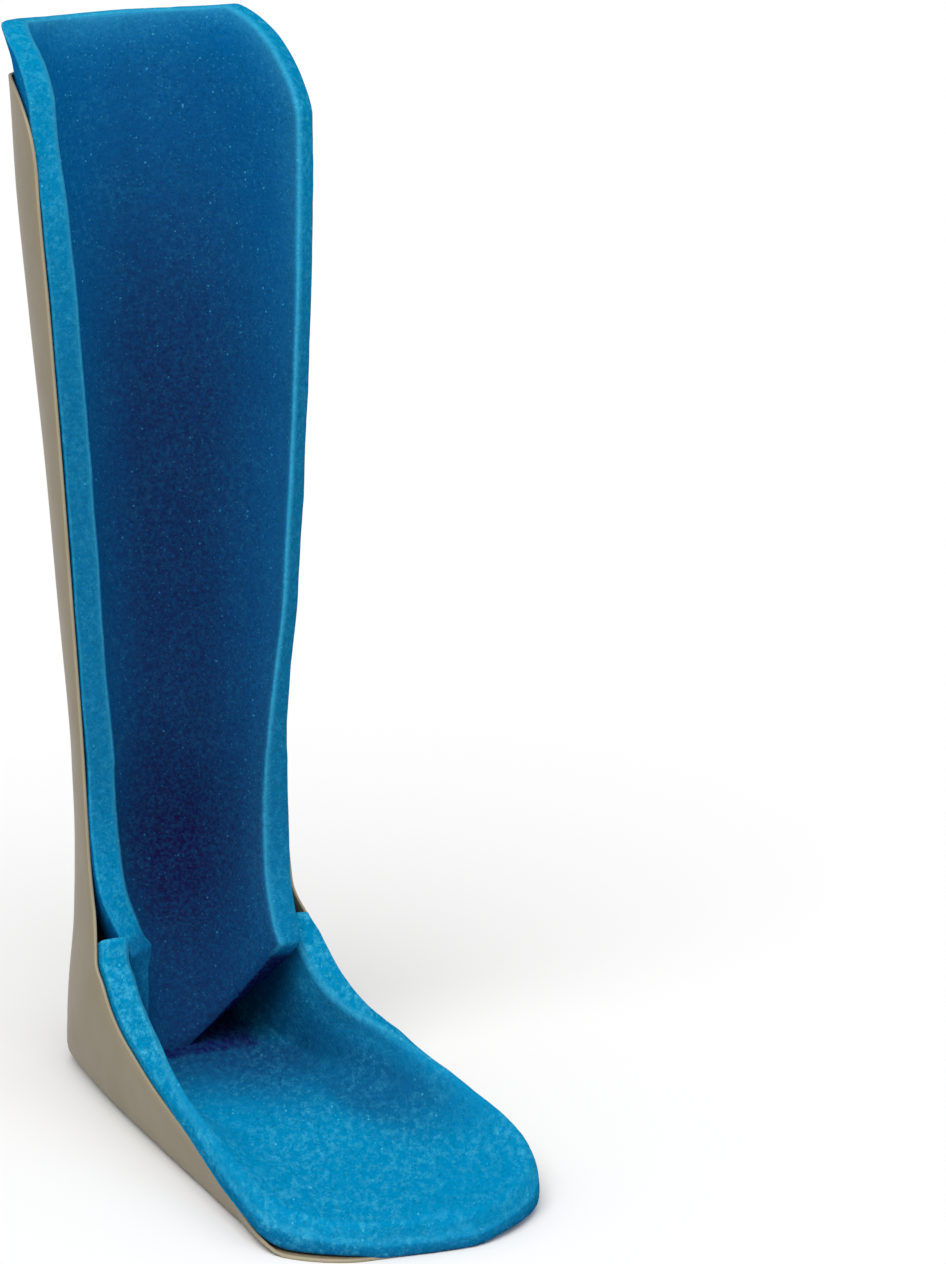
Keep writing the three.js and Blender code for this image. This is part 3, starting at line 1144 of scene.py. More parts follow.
    @staticmethod
    def _rim_edges(triangles: Triangles) -> Pairs:
        """Finds the edges with the sheet on one side only.

        Args:
            triangles: The triangles, all wound the same way.

        Returns:
            Those edges, with the sheet on their left.
        """
        seen = {(a, b) for face in triangles for a, b in zip(face, face[1:] + face[:1])}
        return [(a, b) for a, b in seen if (b, a) not in seen]

    def build(self) -> bpy.types.Object:
        """Builds the shell.

        Returns:
            The shell's object.
        """
        flat, triangles = self._flat_pattern()
        rim = self._rim_edges(triangles)
        on_rim = np.zeros(len(flat))
        on_rim[[a for a, _ in rim]] = self.rim_spread
        maker = MeshMaker()
        outer, inner = (maker.add(points, rim=on_rim) for points in self._faces_at(flat))
        maker.faces += [(int(outer[a]), int(outer[c]), int(outer[b])) for a, b, c in triangles]
        maker.faces += [tuple(int(inner[k]) for k in face) for face in triangles]
        self._roll_rim(maker, rim, self._outward(flat, rim))
        self._weld(maker)
        made = maker.build("splint_shell")
        dress(made, self.finish.material(), Slot.ENAMEL, "shell")
        return made

    def _outward(self, flat: np.ndarray, rim: Pairs) -> dict[int, np.ndarray]:
        """Finds the way out of the sheet at each point of its rim.

        Args:
            flat: Points of the flat sheet.
            rim: The rim's edges.

        Returns:
            A unit vector for each point.
        """
        way = {a: np.zeros(2) for a, _ in rim}
        for a, b in rim:
            along = flat[b] - flat[a]
            out = np.array([along[1], -along[0]]) / np.hypot(*along)
            way[a] += out
            way[b] += out
        keys = list(way)
        inside = flat[keys] - self.rim_look * unit(np.array(list(way.values())))
        return dict(zip(keys, unit(sum(self._faces_at(flat[keys])) - sum(self._faces_at(inside)))))

    def _roll_rim(self, maker: MeshMaker, rim: Pairs, outward: dict[int, np.ndarray]) -> None:
        """Closes the rim and the holes with a rounded edge.

        Args:
            maker: Holds both faces, and takes the rim's points and faces.
            rim: The rim's edges.
            outward: Way out of the sheet at each rim point.
        """
        keys = np.array(list(outward))
        place = {key: n for n, key in enumerate(outward)}
        outer, inner = (face[keys] for face in maker.points)
        middle, half = (outer + inner) / 2, (outer - inner) / 2
        out = np.array(list(outward.values()))
        rings = [keys]
        for k in range(1, self.rim_steps):
            angle = math.pi * k / self.rim_steps
            ring = middle + half * math.cos(angle) + out * self.rim_round * math.sin(angle)
            rings.append(maker.add(ring, rim=1.0))
        rings.append(keys + len(maker.points[0]))
        pairs = [(place[a], place[b]) for a, b in rim]
        for ring, after in zip(rings, rings[1:]):
            maker.bridge(ring, after, pairs)

    def _weld(self, maker: MeshMaker) -> None:
        """Lays the rippled weld bead along the mitre, inside the shell.

        Args:
            maker: Takes the points and faces.
        """
        rib = self.line.curve.at(self.form.mitre_row).inset(self.sheet + self.weld_lift)
        path = rib.points(np.linspace(-self.weld_reach, self.weld_reach, self.weld_rings))
        along = unit(np.gradient(path, axis=0))
        side = unit(np.cross(along, np.array(self.weld_up)))
        over = np.cross(side, along)
        angles = np.linspace(0.0, 2 * math.pi, self.weld_sides, endpoint=False)[:, None]
        rings = []
        for k, point in enumerate(path):
            ripple = 1.0 - self.weld_ripple + self.weld_ripple * math.sin(k * self.weld_ripple_turn)
            swell = min(1.0, self.weld_tip + self.weld_swell * min(k, self.weld_rings - 1 - k))
            around = np.cos(angles) * side[k] + np.sin(angles) * over[k]
            rings.append(maker.add(point + self.weld_radius * ripple * swell * around))
        for ring, after in zip(rings, rings[1:]):
            maker.bridge(ring, after, round_pairs(self.weld_sides))
        maker.faces += [tuple(rings[0][::-1].tolist()), tuple(rings[-1].tolist())]


@dataclass
class Tone:
    """Painted light and shade over a foam sheet, and where its cut colour shows.

    Each array has a value for every point of the sheet's grid: the painted shade on the inner face, the painted
    shade on the cut edge, how much more painted shade that edge gets towards the shell, how much cut colour and
    painted highlight the edge takes, and how far its painted highlight spreads over the inner face.
    """

    hollow: np.ndarray
    cut: np.ndarray
    under: np.ndarray
    light: np.ndarray
    halo: np.ndarray


@dataclass
class FoamSheet:
    """A sheet of foam bent into the trough: two faces and a soft cut edge all round."""

    form: SplintForm
    finish: FoamFinish
    thickness: float = INCH / 2
    seat: float = 2.1
    columns: int = 101
    even_share: float = 0.45
    row_step: float = 2.6
    # Painted shade on the face towards the shell
    back_shade: float = 0.1
    edge_round: float = 1.3
    edge_power: float = 0.55
    # Rim mark on each ring of the cut edge: pale fuzz lines, partly painted highlight, at its corners
    edge_lines: tuple[float, ...] = (0.45, 0.0, 0.0, 0.0, 0.0, 0.2, 0.6)
    wave: float = 0.45
    wave_size: float = 26.0
    wave_seed: int = 3
    crumple: float = 0.16
    crumple_size: float = 6.0
    crumple_shift: float = 40.0
    rim_fade: float = 6.0

    def shares(self) -> np.ndarray:
        """Places across the sheet, closer together towards its free edges."""
        even = np.linspace(-1.0, 1.0, self.columns)
        return self.even_share * even + (1.0 - self.even_share) * np.sin(even * math.pi / 2)

    def soften(self, outer: np.ndarray, inner: np.ndarray, radius: np.ndarray) -> np.ndarray:
        """Rounds the inner face over towards its border.

        Args:
            outer: Grid of points on the face towards the shell.
            inner: Grid of points on the face towards the leg.
            radius: Rounding radius of each row.

        Returns:
            The rounded grid.
        """
        radius = radius[:, None]
        inside = np.clip(radius - self._from_edge(inner), 0.0, radius)
        dip = radius - np.sqrt(np.maximum(radius**2 - inside**2, 0.0))
        return inner + dip[:, :, None] * unit(outer - inner)

    @staticmethod
    def _from_edge(grid: np.ndarray) -> np.ndarray:
        """Measures how far each point of a grid is from its border.

        Args:
            grid: The grid's points.

        Returns:
            The distance along the grid's lines.
        """
        across = np.linalg.norm(np.diff(grid, axis=1), axis=2)
        down = np.linalg.norm(np.diff(grid, axis=0), axis=2)
        left = np.pad(np.cumsum(across, axis=1), ((0, 0), (1, 0)))
        top = np.pad(np.cumsum(down, axis=0), ((1, 0), (0, 0)))
        return np.minimum(np.minimum(left, left[:, -1:] - left), np.minimum(top, top[-1:] - top))

    def close(self, maker: MeshMaker, outer: np.ndarray, inner: np.ndarray, tone: Tone) -> None:
        """Joins two faces with a rounded cut edge.

        Args:
            maker: Takes the points and faces.
            outer: Grid of points on the face towards the shell.
            inner: Grid of points on the face towards the leg.
            tone: The painted light and shade over the foam.
        """
        index = np.arange(tone.light.size).reshape(tone.light.shape)
        loop = np.concatenate([index[0], index[1:, -1], index[-1, -2::-1], index[-2:0:-1, 0]])
        at = np.unravel_index(loop, index.shape)
        border = np.zeros(index.shape)
        border[at] = tone.light[at]
        # Rim mark: fuzz at the border, and a painted highlight spreading from it over the inner face
        rim = np.maximum(border, tone.halo * tone.light * np.exp(-self._from_edge(inner) / self.rim_fade))
        cut, hollow = border.ravel(), tone.hollow.ravel()
        # The face towards the shell takes a little painted shade
        back = maker.add(outer.reshape(-1, 3), cut=cut, hollow=self.back_shade)
        front = maker.add(inner.reshape(-1, 3), cut=cut, rim=rim.ravel(), hollow=hollow)
        neighbours = [(j, j + 1) for j in range(index.shape[1] - 1)]
        for row, after in zip(index, index[1:]):
            maker.bridge(back[row], back[after], neighbours)
            maker.bridge(front[row], front[after], neighbours, turned=True)
        middle, half = (outer[at] + inner[at]) / 2, (outer[at] - inner[at]) / 2
        ways = self._ways_out(middle, half)
        steps = len(self.edge_lines) + 1
        rings = [back[loop]]
        for k, line in enumerate(self.edge_lines, 1):
            rise, bulge = math.cos(math.pi * k / steps), math.sin(math.pi * k / steps)
            level = math.copysign(abs(rise) ** self.edge_power, rise)
            ring = middle + half * level + ways * bulge**self.edge_power * self.edge_round
            # Painted shade on the cut edge, more of it towards the shell
            deep = np.clip(tone.cut[at] + tone.under[at] * (1.0 - k / steps), 0.0, 1.0)
            rings.append(maker.add(ring, cut=tone.light[at], rim=line * tone.light[at], hollow=deep))
        rings.append(front[loop])
        for ring, after in zip(rings, rings[1:]):
            maker.bridge(ring, after, round_pairs(len(loop)), turned=True)

    @staticmethod
    def _ways_out(loop: np.ndarray, through: np.ndarray) -> np.ndarray:
        """Finds the way out of a sheet at each point of its border.

        Args:
            loop: Points of the border in order.
            through: Direction through the sheet at each point.

        Returns:
            A unit vector for each point.
        """
        ways = unit(np.cross(np.roll(loop, -1, axis=0) - np.roll(loop, 1, axis=0), through))
        return ways if np.sum(ways * (loop - loop.mean(axis=0))) > 0 else -ways

    def ruffle(self, maker: MeshMaker, freedom: Callable[[np.ndarray], np.ndarray]) -> None:
        """Gives the cut foam its slight waves.

        Args:
            maker: Holds the points.
            freedom: Tells how free each point is to move, from 0 to 1.
        """
        noise.seed_set(self.wave_seed)
        for block, points in enumerate(maker.points):
            free = freedom(points)
            moved = points.copy()
            for n, point in enumerate(points):
                wave = noise.noise_vector(Vector(point / self.wave_size))
                fine = noise.noise_vector(Vector(point / self.crumple_size + self.crumple_shift))
                moved[n] += free[n] * (self.wave * np.array(wave) + self.crumple * np.array(fine))
            maker.points[block] = moved

    def finish_piece(self, maker: MeshMaker, name: str, slot: Slot, node: str) -> bpy.types.Object:
        """Args:
            maker: Holds its mesh.
            name: Its name.
            slot: The record's slot of its finish.
            node: The solid that it stands for.

        Returns:
            The piece.
        """
        made = maker.build(name)
        dress(made, self.finish.material(), slot, node)
        return made


@dataclass
class CalfPad(FoamSheet):
    """Foam behind the calf, which leaves the shell at the ankle and bridges the heel.

    Its painted light and shade change with the height above the floor and with the share across.
    """

    left_corner: float = 33.0
    right_corner: float = 44.0
    corner_steps: int = 30
    proud: float = 1.0
    slant: Ease = Ease(347.0, 396.0, 8.0)
    slant_inside: float = 0.25
    edge_thickness: float = 11.4
    edge_soft: float = 1.6
    left_lean: float = 10.0
    right_lean: float = 32.0
    lean_rise: Ease = Ease(90.0, 190.0)
    lean_side: Ease = Ease(0.55, 1.0)
    settle: float = 9.0
    settle_rows: int = 12
    settle_run: int = 3
    settle_share: Table = Table((
        (-1.0, 0.1), (-0.9, 0.7), (-0.6, 1.6), (-0.3, 1.4), (0.1, 1.0), (0.5, 0.5), (0.9, 0.0),
    ))
    settle_side: Table = Table(((-1.0, 3.5), (-0.9, -1.0), (-0.6, -6.0), (-0.3, -4.0), (0.1, 0.0)))
    flare: Table = Table((
        (60.5, 0.0), (70.0, 1.3), (87.0, 2.1), (109.0, 2.0), (150.0, 1.2), (360.0, 1.0), (420.0, 0.4),
    ))
    flare_side: Ease = Ease(0.8, 1.0)
    # Painted light and shade: shade deep in the trough, less on the walls where the light falls, full shade on
    # the cut face of the lower end, and a painted highlight near the edges that grows towards the top
    shade_rise: tuple[Ease, ...] = (Ease(436.0, 400.0, 0.42), Ease(425.0, 265.0, 0.58))
    shade_low: Table = Table(((20.0, 0.77), (40.0, 0.79), (70.0, 0.95), (90.0, 0.98), (140.0, 0.83)))
    right_lit: float = 0.25
    right_rise: tuple[Ease, ...] = (Ease(120.0, 240.0, 0.2), Ease(260.0, 340.0, 0.12))
    right_side: Ease = Ease(0.3, 1.0)
    left_lit: float = 0.55
    left_rise: tuple[Ease, ...] = (Ease(150.0, 90.0, -0.2), Ease(200.0, 330.0, 0.2))
    left_side: Ease = Ease(0.12, -0.5)
    end_rows: Ease = Ease(0.0, 9.0)
    left_facet: Ease = Ease(-0.5, -0.8, 0.5)
    right_facet: Ease = Ease(0.86, 1.0)
    low_pale: Ease = Ease(150.0, 60.0, 0.6)
    low_side: Ease = Ease(0.5, 1.0, 0.7)
    halo_least: float = 0.2
    halo_rise: Ease = Ease(250.0, 420.0, 0.75)
    free_least: float = 0.35
    free_rise: Ease = Ease(60.0, 140.0, 0.65)

    def tongue(self, start: Rib) -> RibCurve:
        """Lists the sections of the free lower end.

        Args:
            start: The last section that rests on the shell.

        Returns:
            The run of sections.
        """
        return RibCurve([
            start,
            Rib(-9.5, 102, -62, 109, 43.9, 7, 1.5, 1.9, 0, 0),
            Rib(-23, 70, -68.5, 87, 41.8, 6, 1.5, 2.8, 1, 1),
            Rib(-38, 41, -76, 70, 38.1, 5, 1.5, 0.7, 4, 4),
            Rib(-51, 15.8, -80, 60.5, 36.2, 4, 1.4, -2.2, 5, 9),
        ])

    def ribs(self) -> tuple[list[Rib], list[Rib]]:
        """Lists the sections of the face towards the shell.

        Returns:
            Those on the shell, and those below it.
        """
        line = CentreLine(self.form.sections(), end=self.form.ankle_row)
        corner = self.right_corner
        rest = np.linspace(corner, line.total, int((line.total - corner) / self.row_step))[1:]
        upper = []
        for length in np.concatenate([corner_rows(corner, self.corner_steps), rest]):
            left = Corner.SOFT_CUT.trim(self.left_corner, float(length))
            right = Corner.CUT.trim(corner, float(length))
            rib = line.rib(length).inset(self.seat).extend(self.proud)
            upper.append(replace(rib, trim_left=left + float(self.slant(rib.base_z)), trim_right=right))
        line = CentreLine(self.tongue(self._whole(upper[-1])))
        lengths = np.linspace(0.0, line.total, int(line.total / self.row_step))[1:]
        return upper, [line.rib(length) for length in lengths]

    @staticmethod
    def _whole(rib: Rib) -> Rib:
        """The same section before any corner is taken off."""
        return replace(rib, trim_left=0.0, trim_right=0.0)

    def faces(self) -> tuple[np.ndarray, np.ndarray]:
        """Finds both faces of the foam.

        Returns:
            Grids of points on the face towards the shell and on the face towards the leg.
        """
        upper, lower = self.ribs()
        shares = self.shares()
        outer = np.array([rib.points(shares) for rib in upper + lower])
        full = np.array([self._whole(rib).points(shares) for rib in upper + lower])
        inner = np.array([self._inner(rib).points(shares) for rib in upper])
        inner = np.vstack([inner, self._lined(outer, full, len(upper))])
        inner = self._settle(self._lean(upper + lower, outer, inner))
        flare = self.flare(outer[:, -1, 2])[:, None] * self.flare_side(shares)
        outer[:, :, 0] += flare
        inner[:, :, 0] += flare
        return outer, self.soften(outer, inner, np.full(len(inner), self.edge_soft))

    def _inner(self, rib: Rib) -> Rib:
        """Finds the inner face's section, from which the slanting cut takes less.

        Args:
            rib: The section of the outer face.

        Returns:
            The section of the inner face.
        """
        kept = rib.trim_left - (1.0 - self.slant_inside) * float(self.slant(rib.base_z))
        return replace(rib.inset(self.thickness), trim_left=kept)

    def _lined(self, outer: np.ndarray, full: np.ndarray, start: int) -> np.ndarray:
        """Finds the inner face of the lower end, square to its outer face.

        Args:
            outer: Grid of the whole outer face.
            full: The same grid before any corner is taken off.
            start: Row where the lower end begins.

        Returns:
            Grid of its inner face.
        """
        normal = unit(np.cross(np.gradient(full, axis=0), np.gradient(full, axis=1)))
        return outer[start:] + self.thickness * normal[start:]

    def _lean(self, ribs: list[Rib], outer: np.ndarray, inner: np.ndarray) -> np.ndarray:
        """Turns the cut edges outwards, as the foam pushes the walls apart.

        Args:
            ribs: The sections of the outer face.
            outer: Grid of the outer face.
            inner: Grid of the inner face.

        Returns:
            The inner face with its free edges moved.
        """
        leaned = inner.copy()
        shares = self.shares()
        weight = self.lean_side(np.abs(shares))
        for i, rib in enumerate(ribs):
            amount = float(self.lean_rise(rib.base_z))
            face_y, face_z = rib.facing
            for column, turn, lean in ((0, 1.0, self.left_lean), (-1, -1.0, self.right_lean)):
                sine, cosine = math.sin(math.radians(lean)), math.cos(math.radians(lean))
                way = np.array([turn * cosine, face_y * sine, face_z * sine])
                move = outer[i, column] + self.edge_thickness * way - inner[i, column]
                on_side = (np.sign(shares) == -turn) * weight
                leaned[i] += amount * on_side[:, None] * move
        return leaned

    def _settle(self, inner: np.ndarray) -> np.ndarray:
        """Lets the lower end down until it rests flat on the foot foam.

        Args:
            inner: Grid of the inner face.

        Returns:
            The inner face, longer at its lower end.
        """
        shares = self.shares()
        down = unit(inner[-1] - inner[-1 - self.settle_run])
        move = self.settle * self.settle_share(shares)[:, None] * down
        move[:, 0] += self.settle_side(shares)
        settled = inner.copy()
        settled[-self.settle_rows:] += np.linspace(0.0, 1.0, self.settle_rows)[:, None, None] ** 2 * move
        return settled

    def tone(self, outer: np.ndarray) -> Tone:
        """Finds the painted light and shade over the foam.

        Args:
            outer: Grid of the outer face.

        Returns:
            The tone at each point of the grid.
        """
        shares = self.shares()[None, :]
        height = outer[:, self.columns // 2, 2][:, None]
        # Painted light: less painted shade on the right and left walls, where the light falls
        right = eased(self.right_lit, self.right_rise, height) * self.right_side(shares)
        left = eased(self.left_lit, self.left_rise, height) * self.left_side(shares)
        # Painted shade in the trough, from none at the top to full below mid height
        deep = eased(0.0, self.shade_rise, height) * self.shade_low(height)
        # The lower end's cut face takes full painted shade, except at its facets
        ended = self.end_rows(np.arange(len(outer))[::-1])[:, None]
        light = np.maximum(np.maximum(ended, self.left_facet(shares)), self.right_facet(shares))
        # Low down the cut edge takes less painted shade, except on the right
        pale = self.low_pale(height) * (1.0 - self.low_side(shares))
        cut = np.maximum(deep * (1.0 - pale), 1.0 - light)
        # Painted highlight near the edges, wider towards the top
        halo = np.broadcast_to(self.halo_least + self.halo_rise(height), light.shape)
        return Tone(np.clip(deep * (1.0 - right - left), 0.0, 1.0), cut, np.zeros_like(light), light, halo)

    def build(self) -> bpy.types.Object:
        """Builds the calf pad.

        Returns:
            Its object.
        """
        outer, inner = self.faces()
        maker = MeshMaker()
        self.close(maker, outer, inner, self.tone(outer))
        self.ruffle(maker, lambda points: self.free_least + self.free_rise(points[:, 2]))
        return self.finish_piece(maker, "calf_foam", Slot.CALF_FOAM, "calf_pad")


@dataclass
class FootPad(FoamSheet):
    """Foam under the foot and round the heel, bent up the walls at the heel and flat as a slab at the toe.

    It turns into a slab from one row of the sections to another. Its painted light and shade change along Y and
    with the share across.
    """

    left_corner: float = 44.0
    right_corner: float = 44.0
    corner_steps: int = 36
    proud: float = 3.0
    past_toe: float = 2.5
    droop: float = 1.5
    right_low: tuple[Ease, Ease] = (Ease(-140.0, -170.0, 0.6), Ease(-235.0, -205.0))
    right_out: Table = Table((
        (-260, 0), (-240, -0.8), (-222, -1.4), (-205, -1.6), (-165, -1.6), (-150, -0.3), (-139, 1.5),
        (-126, 2.3), (-114, 2.3), (-104, 1.9), (-95, 1.4), (-86, 0.8), (-78, 0),
    ))
    left_out: Table = Table((
        (-290, 0), (-275, 0.4), (-250, 1.5), (-215, 2.4), (-180, 1.5), (-150, 0.5), (-120, 0),
    ))
    right_side: Ease = Ease(0.7, 1.0)
    left_side: Ease = Ease(-0.7, -1.0)
    toe_skew: Ease = Ease(-225.0, -293.0, 2.5)
    slab: Ease = Ease(12.3, 16.6)
    slab_flat: float = 0.45
    slab_close: float = 1.25
    heel_soft: float = 1.6
    toe_soft: float = 7.5
    rounding: int = 40
    round_along: Ease = Ease(-170.0, -215.0, 0.5)
    # Painted light and shade: shade at the heel, a painted shadow under the calf pad's lower end, shade beside
    # the right wall, less on the lit sides and the right of the heel, and shade on the lower part of the toe's
    # cut front
    lit_sides: tuple[Ease, ...] = (Ease(-0.45, -0.95, 0.8), Ease(0.4, 0.9, 0.5))
    heel_shade: Ease = Ease(-195.0, -75.0, 0.8)
    heel_slant: float = 50.0
    tongue_shadow: Ease = Ease(-88.0, -74.0)
    tongue_right: Ease = Ease(0.3, 0.55)
    heel_lit: Ease = Ease(-95.0, -60.0, 0.5)
    heel_lit_side: Ease = Ease(0.25, 0.5)
    beside_shade: Ease = Ease(-240.0, -160.0, 0.52)
    beside_inner: Ease = Ease(0.05, 0.45)
    beside_outer: Ease = Ease(0.75, 1.0)
    # The toe's cut edge takes less cut colour and painted highlight
    slab_dull: float = 0.7
    # How far the painted highlight spreads near the edges
    halo: float = 0.5
    free_least: float = 0.3
    free_rise: Ease = Ease(-60.0, -150.0, 0.7)

    def ribs(self) -> tuple[list[Rib], np.ndarray]:
        """Lists the sections of the face towards the shell.

        Returns:
            The sections from the heel to the toe, and how far each has turned into a slab.
        """
        line = CentreLine(self.form.sections(), self.form.heel_row)
        end, corner = line.total + self.past_toe, self.left_corner
        even = np.linspace(0.0, end - corner, int((end - corner) / self.row_step))
        ribs, slab = [], []
        for length in np.concatenate([even, end - corner_rows(corner, self.corner_steps)[-2::-1]]):
            ahead = float(end - length)
            left, right = (Corner.ROUND.trim(size, ahead) for size in (corner, self.right_corner))
            rib = line.rib(length).inset(self.seat).extend(self.proud)
            past = max(0.0, float(length - line.total))
            sunk = self.droop * past / self.past_toe
            low, high = (float(ease(rib.base_y)) for ease in self.right_low)
            ribs.append(replace(
                rib,
                base_y=rib.base_y - past,
                edge_y=rib.edge_y - past,
                base_z=rib.base_z - sunk,
                edge_z=rib.edge_z - sunk,
                trim_left=left,
                trim_right=right + low * high,
            ))
            slab.append(self.slab(line.place(length)))
        return ribs, np.array(slab)

    def upper(self, rib: Rib, slab: float) -> Rib:
        """Section of the upper face.

        Args:
            rib: The section of the lower face.
            slab: How far it has turned into a slab.

        Returns:
            The section.
        """
        face_y, face_z = rib.facing
        bent = rib.inset(self.thickness)
        return replace(
            bent,
            edge_y=bent.edge_y + slab * (rib.edge_y + face_y * self.thickness - bent.edge_y),
            edge_z=bent.edge_z + slab * (rib.edge_z + face_z * self.thickness - bent.edge_z),
            half=bent.half + slab * (rib.half - bent.half),
            flat=bent.flat * (1.0 - (1.0 - self.slab_flat) * slab),
            close=bent.close + slab * (self.slab_close - bent.close),
        )

    def _rounded(self, grid: np.ndarray) -> np.ndarray:
        """Evens out the run of the rows towards the toe.

        Args:
            grid: A face's points.

        Returns:
            The evened grid.
        """
        even = grid.copy()
        free = Ease(0.0, self.corner_steps)(np.arange(len(grid))[::-1])[1:-1, None]
        weight = (free * self.round_along(grid[1:-1, :, 1]))[:, :, None]
        for _ in range(self.rounding):
            even[1:-1] += weight * ((even[:-2] + even[2:]) / 2 - even[1:-1])
        return even

    def _trued(self, grid: np.ndarray) -> np.ndarray:
        """Brings a face's sides and its toe to where the cut foam has them.

        Args:
            grid: The face's points.

        Returns:
            The moved grid.
        """
        shares = self.shares()
        moved = grid.copy()
        moved[:, :, 1] -= self.toe_skew(grid[:, :, 1]) * shares
        right, left = self.right_out(moved[:, -1, 1]), self.left_out(moved[:, 0, 1])
        moved[:, :, 0] += right[:, None] * self.right_side(shares) - left[:, None] * self.left_side(shares)
        return self._rounded(moved)

    def tone(self, inner: np.ndarray, slab: np.ndarray) -> Tone:
        """Finds the painted light and shade over the foam.

        Args:
            inner: Grid of the upper face.
            slab: How far each row has turned into a slab.

        Returns:
            The tone at each point of the grid.
        """
        shares = self.shares()[None, :]
        forward = inner[:, self.columns // 2, 1][:, None]
        # Painted shade at the heel, slanting across the sheet, and a painted shadow under the calf pad's lower
        # end
        slanted = forward + self.heel_slant * np.minimum(shares, 0.0)
        tongue = self.tongue_shadow(forward) * (1.0 - self.tongue_right(shares))
        # Less painted shade on the lit sides and on the right of the heel
        deep = np.maximum(self.heel_shade(slanted), tongue) * (1.0 - eased(0.0, self.lit_sides, shares))
        deep = deep * (1.0 - self.heel_lit(forward) * self.heel_lit_side(shares))
        # Painted shade beside the right wall
        beside = self.beside_inner(shares) * (1.0 - self.beside_outer(shares))
        deep = np.maximum(deep, self.beside_shade(forward) * beside)
        # Painted shade on the lower part of the toe's cut front, whose edge takes less cut colour and painted
        # highlight
        under = np.broadcast_to(slab[:, None], deep.shape)
        light, halo = 1.0 - self.slab_dull * under, np.full(deep.shape, self.halo)
        return Tone(np.clip(deep, 0.0, 1.0), np.zeros_like(deep), under, light, halo)

    def build(self) -> bpy.types.Object:
        """Builds the foot pad.

        Returns:
            Its object.
        """
        ribs, slab = self.ribs()
        upper = [self.upper(rib, turned) for rib, turned in zip(ribs, slab)]
        shares = self.shares()
        outer, inner = (self._trued(np.array([rib.points(shares) for rib in face])) for face in (ribs, upper))
        inner = self.soften(outer, inner, self.heel_soft + (self.toe_soft - self.heel_soft) * slab)
        maker = MeshMaker()
        self.close(maker, outer, inner, self.tone(inner, slab))
        self.ruffle(maker, lambda points: self.free_least + self.free_rise(points[:, 1]))
        return self.finish_piece(maker, "foot_foam", Slot.FOOT_FOAM, "foot_pad")


@dataclass
class Camera:
    """Camera at the photograph's angle, with its turns in degrees."""

    place: tuple[float, float, float] = (-1.32957, -2.61258, 0.9919)
    yaw: float = 28.61
    pitch: float = 14.99
    roll: float = 0.98
    focal_pixels: float = 7599.0
    image_pixels: tuple[int, int] = (946, 1264)
    sensor: float = 36.0
    sight: tuple[float, float] = (0.05, 60.0)

    def build(self) -> bpy.types.Object:
        """Makes the camera.

        Returns:
            The camera.
        """
        data = bpy.data.cameras.new("camera")
        data.sensor_width = self.sensor
        data.lens = self.sensor * self.focal_pixels / max(self.image_pixels)
        data.clip_start, data.clip_end = self.sight
        yaw, pitch, roll = (math.radians(v) for v in (self.yaw, self.pitch, self.roll))
        right = Vector((math.cos(yaw), -math.sin(yaw), 0.0))
        ahead = Vector((math.sin(yaw) * math.cos(pitch), math.cos(yaw) * math.cos(pitch), -math.sin(pitch)))
        over = right.cross(ahead)
        side = right * math.cos(roll) + over * math.sin(roll)
        top = over * math.cos(roll) - right * math.sin(roll)
        made = link("camera", data)
        made.matrix_world = Matrix.Translation(self.place) @ Matrix((side, top, -ahead)).transposed().to_4x4()
        bpy.context.scene.camera = made
        return made


@dataclass(frozen=True)
class Lamp:
    """A broad soft light, far enough away to light the whole floor evenly, with its angles in degrees."""

    name: str
    turn: float
    height: float
    spread: float
    strength: float
    distance: float = 3.0

    def build(self) -> bpy.types.Object:
        """Makes the light.

        Returns:
            The light.
        """
        data = bpy.data.lights.new(self.name, "SUN")
        data.energy = self.strength
        data.angle = math.radians(self.spread)
        turn, height = math.radians(self.turn), math.radians(self.height)
        level = math.cos(height)
        place = Vector((math.sin(turn) * level, -math.cos(turn) * level, math.sin(height)))
        made = link(self.name, data)
        made.location = place * self.distance
        made.rotation_euler = (-place).to_track_quat("-Z", "Y").to_euler()
        return made


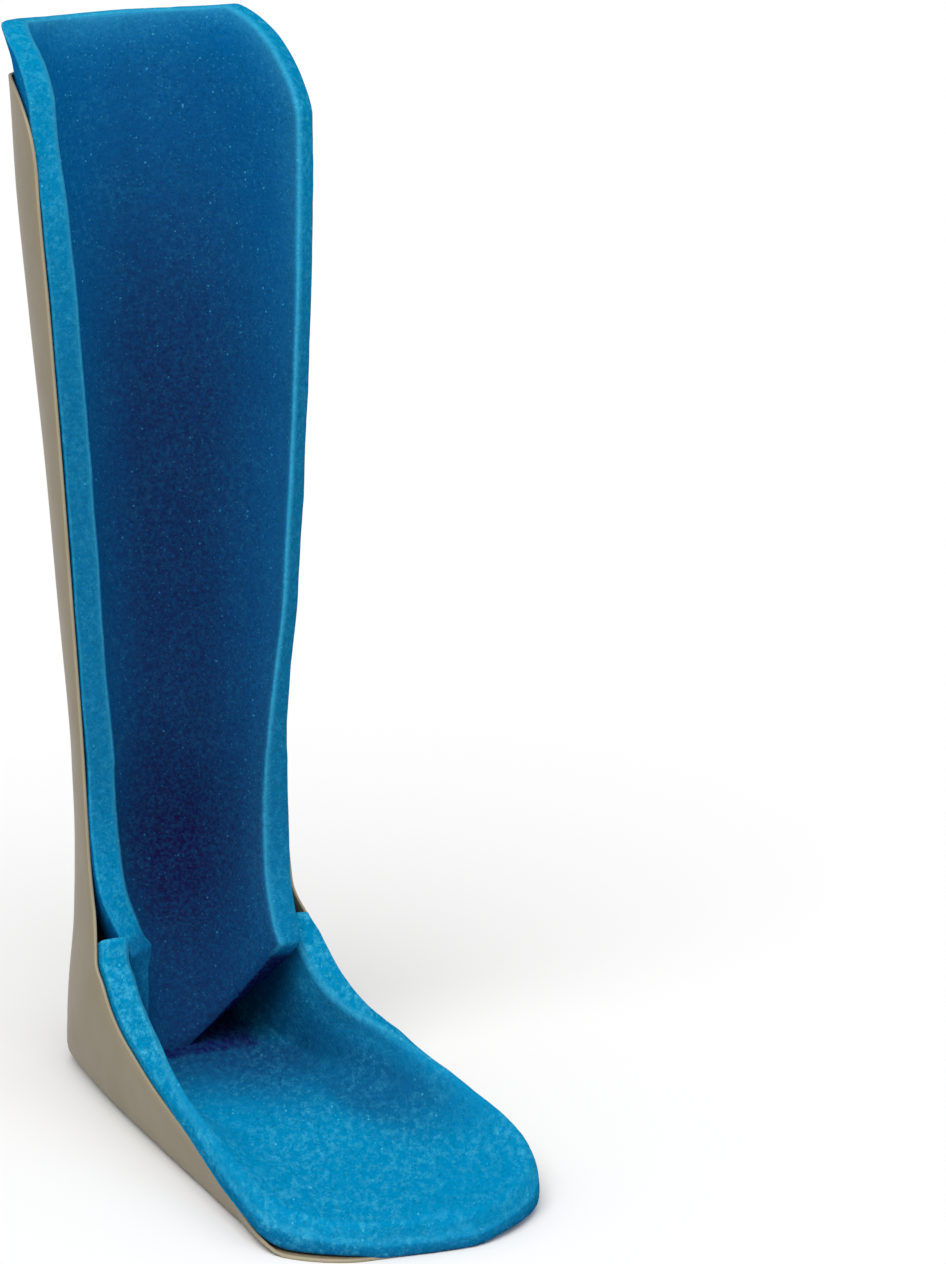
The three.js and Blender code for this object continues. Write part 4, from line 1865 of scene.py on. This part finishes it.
@dataclass
class Studio:
    """Plain pale floor and soft light."""

    floor_half: float = 14.0
    sky: Colour = (1.0, 1.0, 1.0, 1.0)
    sky_strength: float = 0.6
    lamps: tuple[Lamp, ...] = (
        Lamp("overhead", -46.0, 58.0, 50.0, 1.9),
        Lamp("front_right", 30.0, 45.0, 50.0, 0.35),
    )
    finish: FloorFinish = field(default_factory=FloorFinish)

    def build(self) -> None:
        """Makes the floor, the lamps and the surrounding light."""
        half = self.floor_half
        mesh = bpy.data.meshes.new("floor")
        corners = [(-half, -half, 0.0), (half, -half, 0.0), (half, half, 0.0), (-half, half, 0.0)]
        mesh.from_pydata(corners, [], [(0, 1, 2, 3)])
        mesh.materials.append(self.finish.material())
        link("floor", mesh)
        for lamp in self.lamps:
            lamp.build()
        world = bpy.data.worlds.new("studio")
        world.use_nodes = True
        background = world.node_tree.nodes["Background"]
        background.inputs["Color"].default_value = self.sky
        background.inputs["Strength"].default_value = self.sky_strength
        bpy.context.scene.world = world
        bpy.context.scene.view_settings.view_transform = "Standard"


def main() -> None:
    """Builds the splint and the studio around it."""
    logging.basicConfig(level=logging.INFO, format="%(name)s %(message)s")
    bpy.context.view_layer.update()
    form = SplintForm()
    Camera().build()
    Studio().build()
    # The navy colour of each foam is its painted shade
    calf_foam = FoamFinish(
        "calf_foam",
        open_face=(0.0, 0.135, 0.36, 1.0),
        hollow=(0.010, 0.004, 0.05, 1.0),
        cut=(0.0, 0.235, 0.455, 1.0),
        flecks=0.22,
        mottling=0.22,
    )
    foot_foam = FoamFinish(
        "foot_foam",
        open_face=(0.0, 0.222, 0.45, 1.0),
        hollow=(0.007, 0.011, 0.09, 1.0),
        cut=(0.0, 0.21, 0.42, 1.0),
        flecks=0.65,
        mottling=0.12,
        tufts=replace(FoamFinish.tufts, scale=330.0),
        grain_run=(1.0, 2.8, 1.0),
        grain_turn=-28.6,
    )
    Shell(form).build()
    CalfPad(form, calf_foam).build()
    FootPad(form, foot_foam).build()


if __name__ == "__main__":
    main()
